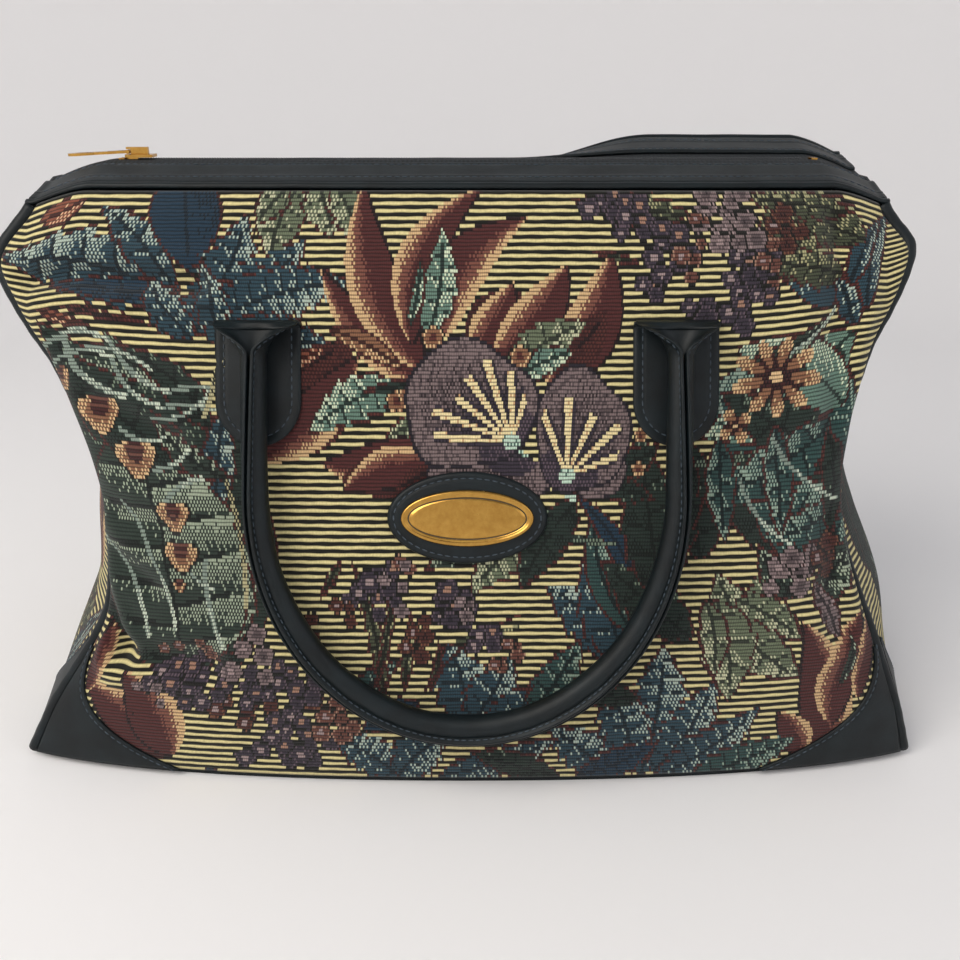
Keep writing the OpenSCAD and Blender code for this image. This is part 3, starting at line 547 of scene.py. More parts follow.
# %% The design, in millimetres on the flat cloth from the middle of its lower edge
# leaves: kind, start, tip, bow, width, and for a toothed edge the teeth and their bite
LEAVES = (
    ("green", (-114, 62), (-189, 191), -16, 81), ("green", (-110, 90), (-168, 222), 0, 70, 5, .12),
    ("green", (-206, 129), (-211, 229), -6, 33), ("green", (-116, 115), (-108, 192), 0, 29, 6, .2),
    ("grey", (-120, 67), (-111, 134), 0, 28, 6, .2), ("blue", (-122, 134), (-113, 192), 0, 19, 5, .2),
    ("green", (-181, 69), (-204, 218), -13, 60, 6, .15),
    ("grey", (-146, 50), (-160, 186), -4, 92, 7, .1),
    ("green", (-127, 158), (-200, 228), 9, 38, 6, .25),
    ("grey", (-185, 210), (-129, 194), 5, 16), ("green", (-120, 177), (-161, 215), -5, 19, 4, .2),
    ("grey", (-113, 154), (-149, 182), 4, 16, 5, .3), ("blue", (-133, 240), (-217, 262), -4, 42, 6, .3),
    ("blue", (-137, 244), (-169, 284), -4, 24, 4, .25),
    ("navy", (-133, 243), (-196, 246), 2, 16, 5, .25), ("navy", (-132, 302), (-127, 250), 0, 34),
    ("rust", (-197, 279), (-175, 286), -1, 13),
    ("maroon", (-188, 234), (-147, 228), -2, 6, 5, .4), ("rust", (-199, 234), (-174, 224), -2, 7),
    ("sage", (-78, 293), (-91, 256), -3, 25, 5, .2), ("sage", (-70, 293), (-64, 268), 2, 26, 4, .2),
    ("sage", (-62, 293), (-51, 264), 2, 21, 4, .25), ("sage", (-83, 292), (-98, 274), -1, 16, 3, .2),
    ("blue", (-128, 222), (-102, 280), -4, 35, 8, .35),
    ("blue", (-124, 227), (-75, 268), -5, 33, 9, .35), ("blue", (-117, 229), (-53, 247), 4, 33, 9, .35),
    ("blue", (-108, 228), (-62, 217), -2, 26, 8, .35), ("blue", (-128, 220), (-148, 250), 2, 23, 6, .3),
    ("blue", (-117, 217), (-123, 257), -2, 19, 6, .3), ("flame_r", (-18, 199), (-68, 254), 6, 19),
    ("flame_r", (-20, 205), (-48, 295), 10, 26), ("flame_r", (-26, 217), (10, 293), 14, 22),
    ("flame", (-13, 220), (29, 278), 12, 26), ("maroon", (1, 215), (35, 239), 3, 29),
    ("flame_r", (3, 214), (22, 247), -2, 21), ("maroon", (25, 205), (63, 239), 0, 28),
    ("flame_r", (14, 212), (48, 256), -4, 25), ("flame_r", (38, 198), (69, 262), -7, 28),
    ("maroon", (37, 205), (66, 234), -3, 21), ("mint", (-19, 220), (-12, 274), -3, 20, 5, .2),
    ("mint", (-28, 224), (-22, 262), -2, 8, 3, .2), ("sage", (18, 205), (58, 229), 2, 24, 5, .25),
    ("mint", (23, 203), (52, 215), 1, 16, 4, .2), ("maroon", (-97, 166), (-54, 217), -6, 33),
    ("flame", (-99, 163), (-51, 213), -5, 26), ("maroon", (-104, 196), (-55, 219), -2, 19),
    ("rust", (-96, 205), (-64, 217), -1, 10), ("peach", (-64, 225), (-29, 205), 2, 12),
    ("mint", (-30, 198), (-75, 175), -5, 26, 6, .25), ("sage", (-19, 182), (-39, 173), -1, 12, 3, .2),
    ("flame_r", (-18, 170), (-70, 162), 6, 25), ("maroon", (-20, 159), (-60, 154), 0, 24),
    ("flame", (-15, 162), (-60, 148), -4, 21), ("maroon", (-17, 159), (-34, 149), 0, 10),
    ("blue", (-5, 220), (16, 215), -2, 6), ("green", (-22, 201), (-50, 196), 1, 7),
    ("teal", (188, 154), (106, 192), -10, 67), ("green", (183, 116), (106, 158), -7, 56, 5, .12),
    ("teal", (184, 109), (129, 158), 0, 42, 6, .2), ("green", (110, 115), (105, 173), 0, 34, 5, .2),
    ("mint", (185, 215), (110, 173), 7, 39, 6, .15), ("mint", (183, 180), (128, 215), -5, 35),
    ("grey", (130, 205), (177, 228), -5, 11), ("green", (181, 155), (120, 194), 0, 31, 6, .2),
    ("teal", (177, 175), (110, 144), 4, 29, 6, .25), ("teal", (183, 139), (138, 124), 3, 21, 5, .2),
    ("teal", (120, 173), (122, 122), -1, 17, 4, .2), ("teal", (146, 177), (148, 123), 1, 17, 4, .2),
    ("green", (105, 168), (91, 95), 4, 17, 5, .3), ("green", (174, 171), (176, 121), 0, 15, 4, .2),
    ("blue", (184, 237), (151, 247), -2, 28), ("blue", (185, 218), (179, 246), -2, 14, 3, .2),
    ("blue", (191, 226), (208, 289), 4, 14), ("blue", (185, 239), (202, 283), 2, 11),
    ("olive", (165, 243), (144, 290), 0, 38, 5, .3), ("olive", (192, 265), (154, 286), 0, 30, 6, .3),
    ("olive", (183, 246), (145, 256), 0, 25, 5, .3), ("olive", (184, 280), (130, 288), 0, 20, 7, .4),
    ("olive", (106, 279), (49, 286), 1, 19, 6, .4), ("olive", (82, 256), (58, 262), 0, 6, 2, .3),
    ("sage", (130, 82), (144, 113), -1, 17, 4, .25), ("sage", (130, 82), (117, 109), 1, 20, 4, .25),
    ("sage", (126, 95), (157, 73), 2, 22, 5, .25), ("sage", (124, 85), (161, 52), -3, 26, 4, .2),
    ("sage", (117, 95), (127, 41), 2, 30, 4, .2), ("sage", (112, 95), (118, 53), 2, 16, 3, .2),
    ("flame", (182, -3), (156, 83), -7, 28),
    ("flame_r", (183, 23), (191, 84), 6, 22), ("flame", (170, 5), (152, 34), -3, 17),
    ("flame_r", (195, 36), (199, 86), 3, 13), ("grey", (182, 43), (184, 74), -2, 8),
    ("grey", (164, 87), (188, 123), -2, 23, 5, .25), ("grey", (152, 94), (137, 120), -1, 20, 5, .3),
    ("mauve", (179, 70), (163, 103), 0, 14, 4, .25), ("mauve", (164, 122), (160, 103), 0, 10),
    ("blue", (87, 0), (93, 73), -3, 39, 8, .3), ("blue", (93, 1), (120, 53), -3, 33, 8, .35),
    ("blue", (96, -1), (144, 38), -4, 29, 9, .35), ("teal", (113, -3), (167, 19), -2, 27, 8, .35),
    ("blue", (72, 0), (39, 31), -2, 29, 6, .3), ("blue", (83, 10), (66, 55), -2, 31, 6, .3),
    ("navy", (54, 0), (95, 20), -2, 22, 7, .3), ("green", (84, 44), (45, 50), 0, 17, 6, .3),
    ("grey", (44, 135), (-21, 110), -4, 26, 7, .25), ("sage", (46, 135), (1, 98), -5, 29, 7, .25),
    ("green", (51, 144), (25, 101), -2, 26, 5, .25), ("blue", (73, 65), (37, 103), -4, 30, 5, .25),
    ("blue", (74, 64), (55, 118), -2, 32, 5, .2), ("teal", (82, 76), (61, 144), 8, 16),
    ("navy", (86, 85), (49, 149), -6, 13), ("green", (106, 75), (63, 115), 0, 29, 6, .25),
    ("green", (91, 95), (81, 178), 0, 31, 6, .2), ("blue", (1, 32), (-10, 75), -2, 33, 5, .25),
    ("blue", (1, 32), (21, 68), -2, 29, 5, .25), ("blue", (6, 29), (41, 55), -3, 25, 6, .25),
    ("teal", (30, 38), (54, 76), -2, 24, 5, .3), ("blue", (-35, 1), (-67, 25), -2, 28, 6, .3),
    ("blue", (-35, 0), (-11, 25), 3, 30, 6, .3), ("blue", (-15, 1), (45, 25), -3, 23, 8, .35),
    ("navy", (-24, 44), (-53, 28), 0, 20, 6, .3), ("green", (46, 0), (1, 17), 0, 21, 6, .3),
    ("teal", (-59, 44), (-33, 66), 0, 16, 5, .3), ("olive", (-41, 44), (-56, 115), -3, 11, 7, .4),
    ("olive", (-31, 50), (-27, 91), 0, 9, 5, .4), ("olive", (-46, 50), (-35, 115), -2, 7, 4, .4),
    ("olive", (-19, 50), (-14, 76), -2, 7, 3, .4), ("olive", (-61, 115), (-72, 96), 0, 7, 3, .4),
    ("green", (65, 159), (91, 171), -3, 17, 5, .25), ("green", (63, 149), (89, 144), 2, 14, 5, .25),
    ("maroon", (-153, 8), (-191, 42), 0, 38), ("flame", (-155, 10), (-199, 45), -2, 28),
    ("flame", (-151, 8), (-176, 55), -3, 31), ("flame", (-199, 40), (-189, 78), -2, 12),
    ("peach", (-205, 54), (-200, 76), -1, 8),
)
# stems: start, end, bow, width, threads
STEMS = (
    ((-205, 206), (-165, 217), 9, 3.3, "pale"), ((-166, 217), (-138, 194), -5, 2.7, "pale"),
    ((-139, 195), (-106, 191), 4, 2.8, "pale"), ((-199, 199), (-165, 209), 7, 2.8, "pale"),
    ((-166, 209), (-141, 187), -5, 2.3, "pale"), ((-142, 187), (-108, 183), 3, 2.4, "pale"),
    ((-189, 128), (-163, 72), 7, 2.3, "pale"), ((-169, 141), (-148, 78), 5, 1.9, "pale"),
    ((-128, 115), (-122, 69), -4, 2.5, "pale"), ((129, 153), (153, 121), -4, 2.0, "pale"),
    ((144, 173), (177, 140), -4, 2.1, "pale"), ((-190, 218), (-158, 191), -7, 3.3, "pale"),
    ((-185, 210), (-147, 204), 6, 2.4, "pale"), ((-149, 182), (-122, 194), -5, 2.4, "pale"),
    ((-164, 176), (-142, 173), -4, 2.4, "pale"), ((-151, 157), (-131, 168), -3, 2.6, "pale"),
    ((-146, 140), (-125, 154), 3, 2.7, "pale"), ((-137, 109), (-125, 100), -2, 1.9, "pale"),
    ((-115, 154), (-110, 90), 3, 2.4, "dash"), ((128, 205), (178, 229), -7, 1.9, "pale"),
    ((110, 194), (125, 173), 3, 1.9, "pale"), ((20, 171), (51, 144), 0, 3.4, "mintline"),
    ((34, 135), (70, 123), -3, 2.9, "green"), ((-6, 76), (25, 83), -2, 1.9, "olive"),
    ((-21, 50), (25, 88), 5, 1.5, "maroon"),
    ((-109, 217), (-123, 182), -2, 2.4, "dash"),
)
# berries: middle, spread, count, size, threads
CLUSTERS = (
    ((152, 106), (13, 10), 5, 6, "mauve"), ((170, 112), (7, 10), 4, 6, "maroonberry"),
    ((-151, 52), (13, 9), 6, 6, "purple"), ((-114, 40), (20, 11), 9, 6, "maroonberry"),
    ((-97, 12), (20, 7), 6, 6, "purple"), ((-68, 49), (12, 15), 7, 6, "maroonberry"),
    ((-47, 96), (13, 13), 6, 5, "purple"), ((-23, 76), (8, 12), 5, 5, "maroonberry"),
    ((-4, 90), (10, 8), 5, 6, "purple"), ((67, 283), (10, 7), 5, 6, "purple"),
    ((150, 270), (10, 12), 6, 6, "maroonberry"), ((-127, 51), (29, 15), 14, 6, "purple"),
    ((-89, 49), (17, 17), 10, 6, "purple"), ((-84, 24), (20, 12), 8, 6, "purple"),
    ((-66, 33), (10, 15), 6, 6, "berry"), ((-106, 65), (15, 15), 5, 6, "mauve"),
    ((-138, 68), (20, 5), 5, 4, "berry"), ((-40, 106), (8, 7), 5, 6, "purple"),
    ((-30, 110), (4, 7), 2, 4, "berry"), ((-10, 92), (5, 9), 4, 6, "purple"),
    ((-1, 93), (4, 6), 3, 4, "mauve"), ((10, 76), (10, 5), 5, 6, "purple"),
    ((22, 72), (4, 6), 3, 4, "berry"), ((15, 61), (3, 4), 2, 4, "berry"),
    ((80, 276), (12, 11), 7, 6, "purple"), ((97, 262), (12, 13), 8, 6, "purple"),
    ((120, 280), (18, 11), 9, 6, "mauve"), ((106, 256), (7, 8), 3, 5, "berry"),
    ((133, 254), (13, 15), 9, 7, "purple"), ((128, 270), (12, 8), 6, 6, "mauve"),
    ((145, 253), (6, 12), 4, 5, "berry"), ((111, 274), (4, 10), 3, 4, "berry"),
    ((128, 229), (7, 7), 4, 6, "purple"), ((87, 244), (6, 4), 3, 5, "purple"),
    ((142, 238), (5, 5), 2, 5, "purple"), ((111, 234), (8, 5), 3, 6, "purple"),
    ((-35, 101), (10, 15), 4, 4, "mauve"), ((-162, 45), (10, 10), 3, 4, "mauve"),
    ((-60, 91), (6, 8), 3, 4, "maroonberry"), ((-78, 76), (7, 11), 4, 4, "maroonberry"),
)
# pansy petals: middle, radii, throat, first and last angle of the rays, number of rays
PANSIES = (
    ((10, 155), (31, 14), (21, 171), 0, 0, 0), ((1, 189), (32, 31), (21, 172), -94, 25, 7),
    ((62, 159), (13, 15), (47, 156), 0, 0, 0), ((54, 177), (23, 30), (47, 156), -32, 80, 5),
)
# bells: middle, radius, turn; blossoms: middle, radius; daisies: middle, radii, petals, turn
BELLS = (
    ((-191, 197), 8, -20), ((-173, 182), 12, -10), ((-157, 162), 12, -5), ((-142, 135), 10, 0),
    ((-140, 116), 10, 5), ((-143, 101), 4, 0), ((-200, 201), 5, 0),
)
BLOSSOMS = (
    ((-16, 221), 6), ((-33, 191), 6), ((25, 212), 6), ((82, 175), 4), ((81, 159), 4), ((-29, 194), 4),
)
DAISIES = (
    ((147, 199), (22, 19), 9, 30), ((127, 178), (8, 9), 4, -60),
)


def weave(x, y, row, col):
    """Colours every square of a stretch of cloth, from the leaves behind to the flowers in front."""
    cloth = Cloth(x, y, row, col)
    clusters = [(*motif, seed) for seed, motif in enumerate(CLUSTERS)]
    blossoms = [(*motif, 5, 0.3, "peach", "maroon") for motif in BLOSSOMS]
    for draw, motifs in ((leaf, LEAVES), (stem, STEMS), (berries, clusters), (blossom, blossoms),
                         (pansy, PANSIES), (bell, BELLS), (daisy, DAISIES)):
        for motif in motifs:
            draw(cloth, *motif)
    return np.dstack([cloth.rgb, cloth.tied])


print("design:", len(LEAVES), "leaves,", sum(c[2] for c in CLUSTERS), "berries")

# %% [markdown]
# ## Tapestry finish
# Woven cotton and viscose has no gloss. Each row of weft stands up as a small rib, its colour painted
# lighter on its crest, a painted highlight, and darker towards the line between it and the next, a
# painted shade, and the warp shows as fine breaks across it. The mesh carries the thread's colour and
# ties on each square, and a UV map that counts squares, so the shader can draw rib and break.

# %% Tapestry material
# tones of the gaps, painted shade between the rows, and of the warp are given for a free thread and
# for a tied one; the crest tone, above one, is a painted highlight on each rib
GAP_SHADE, WARP_TONE, RIB_HIGHLIGHT, RIB_POWER, WARP_WIDE = (0.3, 0.12), (0.95, 0.35), 1.32, 0.75, 0.6
tapestry, tree, base = new_material("jacquard tapestry", Roughness=0.88, Sheen_Weight=0.12,
                                    Sheen_Roughness=0.6, Specular_IOR_Level=0.2)
thread = add(tree, "ShaderNodeAttribute", attribute_name="thread")
squares = add(tree, "ShaderNodeUVMap", uv_map="squares").outputs[0]
split = add(tree, "ShaderNodeSeparateXYZ", {0: squares})
swell = {}
for axis in ("X", "Y"):
    count = calc(tree, "MULTIPLY", split.outputs[axis], math.pi)
    swell[axis] = calc(tree, "ABSOLUTE", calc(tree, "SINE", count))
rib = calc(tree, "POWER", swell["Y"], RIB_POWER)
tied = thread.outputs["Alpha"]
# the rib's colour: painted shade towards the gap between rows, painted highlight on its crest
shade = ranged(tree, rib, ranged(tree, tied, *GAP_SHADE), RIB_HIGHLIGHT)
breaks = ranged(tree, swell["X"], ranged(tree, tied, *WARP_TONE), 1.0, end=WARP_WIDE)
fuzz = add(tree, "ShaderNodeTexNoise", {"Vector": squares, "Scale": 0.9, "Detail": 3.0}).outputs[0]
tired = ranged(tree, fuzz, 0.86, 1.12, 0.3, 0.7)
depth = calc(tree, "MULTIPLY", calc(tree, "MULTIPLY", shade, breaks), tired)
# the thread's dyed colour times the painted rib shade and highlight, the warp breaks and a random tone
dyed_and_rib_shaded = {0: thread.outputs["Color"], 1: depth}
dyed_and_rib_shaded = add(tree, "ShaderNodeVectorMath", dyed_and_rib_shaded, operation="MULTIPLY")
tree.links.new(dyed_and_rib_shaded.outputs[0], base.inputs["Base Color"])
steer(tree, base, calc(tree, "MULTIPLY", rib, breaks), relief=(0.6, 0.6))
lining = mottled("black lining cloth", ("#15171a", "#23262b"), 1 / 0.9, Roughness=0.9)
print("materials:", tapestry.name, "and", lining.name)

# %% [markdown]
# ## The four walls
# Each wall is one cut of cloth sewn in along its edges. A full bag hangs in soft folds where its side
# seams pull: across the ears, at the waist and over the stiff corners. They are pressed into the mesh by
# formula, each fold a line on the cloth with a depth and a width, which keeps the squares true.

# %% Mesh helpers
def quads(n):
    """Faces between neighbours in a grid of point numbers; rows go up, columns go right."""
    return np.stack([n[:-1, :-1], n[:-1, 1:], n[1:, 1:], n[1:, :-1]], -1).reshape(-1, 4)


def ring_faces(rings, around):
    """Faces of a stack of closed rings of points, with both ends shut."""
    n = np.arange(rings * around).reshape(rings, around)
    return [*quads(np.hstack([n, n[:, :1]])), n[0, ::-1], n[-1]]


def make_piece(name, points, faces, *materials):
    """A mesh object from points in millimetres."""
    mesh = bpy.data.meshes.new(name)
    points = np.asarray(points).reshape(-1, 3) * MM
    mesh.from_pydata(points.tolist(), [], [list(map(int, f)) for f in faces])
    mesh.polygons.foreach_set("use_smooth", [True] * len(mesh.polygons))
    for material in materials:
        mesh.materials.append(material)
    mesh.update()
    return put(name, mesh)


def outward(grid):
    """Unit normals of a grid of points."""
    normal = np.cross(np.gradient(grid, axis=1), np.gradient(grid, axis=0))
    return normal / np.linalg.norm(normal, axis=-1, keepdims=True)


def slab(name, outer, inner, material):
    """A closed piece between two like grids of points."""
    n = np.arange(outer[..., 0].size).reshape(outer.shape[:2])
    m = n.size
    ring = np.concatenate([n[0, :-1], n[:-1, -1], n[-1, :0:-1], n[:0:-1, 0]])
    rim = [(a, a + m, b + m, b) for a, b in zip(ring, np.roll(ring, -1))]
    faces = [*quads(n), *quads(n + m)[:, ::-1], *rim]
    return make_piece(name, np.concatenate([outer, inner]), faces, material)


CORD_SIDES, CORD_SIDEWAYS = 14, (0.31, 0.94, 0.12)


def tube(name, path, radius, material):
    """A round cord along a path, closed at its ends."""
    way = np.gradient(path, axis=0)
    way /= np.linalg.norm(way, axis=1, keepdims=True)
    side = np.cross(way, CORD_SIDEWAYS)
    side /= np.linalg.norm(side, axis=1, keepdims=True)
    up = np.cross(way, side)
    a = np.linspace(0, 2 * math.pi, CORD_SIDES, endpoint=False)[None, :, None]
    rings = path[:, None] + radius[:, None, None] * (np.cos(a) * side[:, None] + np.sin(a) * up[:, None])
    return make_piece(name, rings, ring_faces(len(path), CORD_SIDES), material)


print("helpers: grids, slabs and tubes in millimetres")

# %% Folds
# start, end, depth, width of each fold of the front, in mm on the flat cloth
FOLDS = (
    ((-222, 251), (-126, 246), 6.0, 6), ((-190, 217), (-118, 192), 3.0, 8),
    ((-196, 96), (-180, 64), 6.5, 6), ((-181, 64), (-132, 62), 4.0, 7),
    ((178, 276), (184, 226), 4.4, 6), ((174, 240), (178, 178), 4.0, 7),
    ((174, 128), (178, 78), 4.0, 9), ((184, 176), (150, 160), 2.6, 7),
    ((-190, 140), (-150, 128), 2.8, 7), ((-150, 230), (-122, 222), 2.4, 7),
    ((128, 205), (176, 214), 2.2, 8), ((-60, 40), (40, 30), -1.6, 40),
    ((-176, 190), (-140, 172), 2.4, 6), ((-186, 118), (-160, 100), 2.8, 6),
    ((188, 108), (160, 92), 2.4, 7),
)
FOLD_BANK, BANK_OFF, BANK_WIDE = 0.35, 2, 0.9


def front_folds(x, y):
    """How far the padded front stands out or sinks at each place of the cloth."""
    out = 0.5 * np.sin(x / 31 + 0.4) * np.sin(y / 23 + 1.1) + 0.3 * np.sin(x / 13 - y / 19)
    for (x0, y0), (x1, y1), deep, wide in FOLDS:
        lx, ly = x1 - x0, y1 - y0
        t = np.clip(((x - x0) * lx + (y - y0) * ly) / (lx**2 + ly**2), 0, 1)
        d = np.hypot(x - x0 - t * lx, y - y0 - t * ly) / wide
        out -= deep * (np.exp(-d**2) - FOLD_BANK * np.exp(-((d - BANK_OFF) / BANK_WIDE) ** 2))
    return out


def other_folds(x, y):
    return 0.8 * np.sin(x / 29 + 2) * np.sin(y / 31) + 0.4 * np.sin(x / 15 + y / 21)


print("folds:", len(FOLDS), "pressed into the front")

# %% Cutting and weaving a wall
SQUARE_H, PALE_MORE, LINE_WAVE, SEAM_EASE = 1.77, 0.04, 0.09, 12
COARSE = 4


def cut_cloth(point, cols):
    """Squares over a wall: shares across and up, mm on the flat cloth, and mm to the nearest edge."""
    going_up, across = np.linspace(0, 1, 400), np.linspace(-1, 1, 401)
    spine = point(0.0, going_up, 0.0)
    height = np.append(0, np.cumsum(np.linalg.norm(np.diff(spine, axis=0), axis=1)))
    rows = COARSE * round(height[-1] / SQUARE_H / COARSE)
    y = np.linspace(0, height[-1], rows + 1)[:, None]
    lines = point(across[None], np.interp(y, height, going_up), 0.0)
    run = np.cumsum(np.linalg.norm(np.diff(lines, axis=1), axis=-1), 1)
    run = np.hstack([np.zeros((rows + 1, 1)), run])
    share = np.linspace(0, 1, cols + 1)
    u = np.stack([np.interp(share, r / r[-1], across) for r in run])
    x = (share[None] - 0.5) * run[:, -1:]
    y = np.broadcast_to(y, x.shape)
    line = np.arange(rows + 1)[:, None]
    waver = 0.5 * np.sin(x / 4.1 + line * 2.4) + 0.5 * np.sin(x / 1.7 + line * 5.1)
    uneven = (PALE_MORE * (line % 2) + LINE_WAVE * waver) * ((line > 0) & (line < rows)) * SQUARE_H
    v = np.interp(y + uneven, height, going_up)
    sideways = (1 - np.abs(2 * share - 1))[None] * run[:, -1:] / 2
    return u, v, x, y, np.minimum(sideways, np.minimum(y, height[-1] - y))


def wall_faces(rows, cols):
    """Fine squares outside, coarse ones inside, and rims that join each coarse edge to its fine ones."""
    f = np.arange(rows * cols).reshape(rows, cols)
    g = f[::COARSE, ::COARSE]
    g = f.size + np.arange(g.size).reshape(g.shape)
    rims = []
    for edge in (np.s_[0, ::-1], np.s_[-1, :], np.s_[::-1, -1], np.s_[:, 0]):
        fine, coarse = f[edge], g[edge]
        for j in range(len(coarse) - 1):
            rims.append([*fine[COARSE * j:COARSE * (j + 1) + 1], coarse[j + 1], coarse[j]])
    return [*quads(f), *quads(g)[:, ::-1], *rims]


def weave_squares(mesh, x, y, shift):
    """Colours the outer squares thread by thread and counts them in a UV map; the rest is lining."""
    row, col = np.indices((x.shape[0] - 1, x.shape[1] - 1))
    x, y = ((q[:-1, :-1] + q[1:, 1:]) / 2 + move for q, move in zip((x, y), shift))
    outside = slice(0, 4 * row.size)
    threads = np.tile([*THREADS["dark"][0], 1.0], (len(mesh.loops), 1))
    threads[outside] = np.repeat(weave(x, y, row, col).reshape(-1, 4), 4, axis=0)
    attribute = mesh.color_attributes.new("thread", "FLOAT_COLOR", "CORNER")
    attribute.data.foreach_set("color", threads.ravel())
    uv = np.zeros((len(mesh.loops), 2))
    corners = np.array([[0, 0], [1, 0], [1, 1], [0, 1]])
    uv[outside] = (np.stack([col, row], -1).reshape(-1, 1, 2) + corners).reshape(-1, 2)
    mesh.uv_layers.new(name="squares").data.foreach_set("uv", uv.ravel())
    index = np.arange(len(mesh.polygons)) >= row.size
    mesh.polygons.foreach_set("material_index", index.astype(int))


def woven_wall(name, point, cols, shift, folds, node):
    """One wall of tapestry: a face for every square outside, a coarse lining inside."""
    u, v, x, y, edge = cut_cloth(point, cols)
    outer = point(u, v, CLOTH_T / 2)
    normal = outward(outer)
    outer = outer + normal * (folds(x, y) * smooth(edge / SEAM_EASE))[..., None]
    inner = (outer - CLOTH_T * normal)[::COARSE, ::COARSE]
    points = settle(np.concatenate([outer.reshape(-1, 3), inner.reshape(-1, 3)]))
    piece = make_piece(name, points, wall_faces(*x.shape), tapestry, lining)
    weave_squares(piece.data, x, y, shift)
    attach(piece, "bag")
    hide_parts(node)


# %% Walls of tapestry
FRONT_COLS, SIDE_COLS = 480, 200
woven_wall("tapestry_front", panel, FRONT_COLS, (0, 0), front_folds, "front_panel")
woven_wall("tapestry_back", opposite(panel), FRONT_COLS, (195, 120), other_folds, "back_panel")
woven_wall("tapestry_right", gusset, SIDE_COLS, (300, 40), other_folds, "right_gusset")
woven_wall("tapestry_left", opposite(gusset), SIDE_COLS, (120, 210), other_folds, "left_gusset")

# %% [markdown]
# ## Vinyl trim
# The trim is leather-cloth: soft vinyl on a woven back, pressed with a fine grain. It is a satin navy
# that reads as charcoal, paler where it is rubbed. Its grain is about half a millimetre, drawn a little
# coarser so that it shows.

# %% Vinyl material
VINYL_GRAIN = 0.9
vinyl, tree, base = new_material("grained vinyl leather-cloth", Specular_IOR_Level=0.3)
cloud = noise(tree, 18, 4.0, 0.6)
steer(tree, base, cloud, gloss=(0.58, 0.4))
steer(tree, base, ranged(tree, cloud, 0.0, 1.0, 0.35, 0.7), ("#060d10", "#0e191d"))
grain = {"Vector": place_of(tree), "Scale": 1 / (VINYL_GRAIN * MM)}
grain = add(tree, "ShaderNodeTexVoronoi", grain, feature="F1").outputs[0]
steer(tree, base, grain, relief=(0.12, 0.4))
print("material:", vinyl.name)

# %% [markdown]
# ## Piping, corner patches and base
# A vinyl-covered cord runs down each side seam. The lower corners are capped with vinyl patches cut to
# a hollow curve, their edge turned under and stitched. The flat base keeps its solid and takes the vinyl.

# %% Piping
seam = np.linspace(0, 1, 150)
cord_line = np.stack([seam_x(seam), -seam_y(seam), seam_height(seam)], -1)
pucker = PIPING_R * (1 + 0.025 * np.sin(seam * 190) + 0.02 * np.sin(seam * 77))
CORNERS = {f"{fb}_{lr}": (x, y, 1) for y, fb in ((1, "front"), (-1, "back"))
           for x, lr in ((1, "right"), (-1, "left"))}
for name, mirror in CORNERS.items():
    cord = tube(f"piping_{name}", settle(cord_line * np.array(mirror)), pucker, vinyl)
    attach(cord, "bag")
    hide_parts(f"{name}_piping")
print("piping: 4 seams of", round(np.linalg.norm(np.diff(cord_line, axis=0), axis=1).sum()), "mm")

# %% Corner patches
PATCH_W, SIDE_PATCH_W, PATCH_T, PATCH_TOP = 82.0, 56.0, 1.2, 4 / 18
PATCH_IN, PATCH_DOWN, HOLLOW = CLOTH_T / 2 + 5 * SEWN, 0.35, 0.94
PATCH_SPAN, TOP_SPAN, PATCH_SEWN, SEWN_WIDE, TURNED = 180, 60, 3.2, 0.8, 1.2
tall, wide = np.linspace(0, 1, 33), np.linspace(0, 1, 41)
hollow = HOLLOW * (1 - (1 - tall) ** 1.5)
v = (tall * PATCH_TOP)[:, None]


def panel_share(x, v):
    u = np.linspace(0, 1, 2001)
    return np.interp(x, panel(u, v, 0.0)[:, 0], u)


low = np.array([panel_share(BASE_W / 2 - PATCH_W, h) for h in v[:, 0]])
first = low + (1 - low) * hollow
long_side = first[:, None] + (1 - first[:, None]) * wide
edge = 2 * SIDE_PATCH_W / BASE_D - 1
last = edge + (-1 - edge) * hollow
short_side = -1 + (last[:, None] + 1) * wide
stitch_lines = []


def corner_patch(name, point, across, free, mirror, node):
    """A patch on a wall; free is the share across it at which its cut edge lies."""
    span = np.abs(across[:, -1] - across[:, 0]) * PATCH_SPAN
    d = np.minimum(np.abs(wide - free)[None] * span[:, None], (1 - tall)[:, None] * TOP_SPAN)
    lift = PATCH_T * (0.62 + 0.38 * np.clip(d / TURNED, 0, 1) ** 0.5)
    lift -= 0.25 * np.exp(-((d - PATCH_SEWN) / SEWN_WIDE) ** 2)
    flip = np.array(mirror)
    outer, inner = (point(across, v, PATCH_IN + out) * flip for out in (lift, -PATCH_DOWN))
    if flip[0] * flip[1] < 0:
        outer, inner = outer[:, ::-1], inner[:, ::-1]
    patch = slab(name, settle(outer), settle(inner), vinyl)
    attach(patch, "bag")
    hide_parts(node)
    k = PATCH_SEWN / span
    keep = k < 0.8
    sewn = across[:, 0] + (across[:, -1] - across[:, 0]) * np.abs(free - k)
    stitch_lines.append(settle(point(sewn[keep], v[keep, 0], PATCH_IN + PATCH_T - 0.1) * flip))


for name, mirror in CORNERS.items():
    fb, lr = name.split("_")
    corner_patch(f"patch_{fb}_{lr}", panel, long_side, 0, mirror, f"{fb}_{lr}_patch")
    corner_patch(f"patch_{lr}_{fb}", gusset, short_side, 1, mirror, f"{lr}_{fb}_patch")
coat("base_panel", vinyl)
coat("base_board", mottled("grey chipboard", ("#5b554c", "#8f877a"), 2, 5.0, 0.75, Roughness=0.95))
print("patches: 8, cut", PATCH_W, "and", SIDE_PATCH_W, "mm along the base")

# %% [markdown]
# ## The zip top
# Two vinyl bands slope up from the top seams to the zip. Each has a rolled welt along its lower edge,
# a groove beside it and rows of topstitching. Between them lie two woven tapes, each with a nylon coil:
# a row of tilted loops that mesh with those of the other side. The brass slider, its pull and the end
# stops have the right shape in the solids, so they stay and only take a finish.

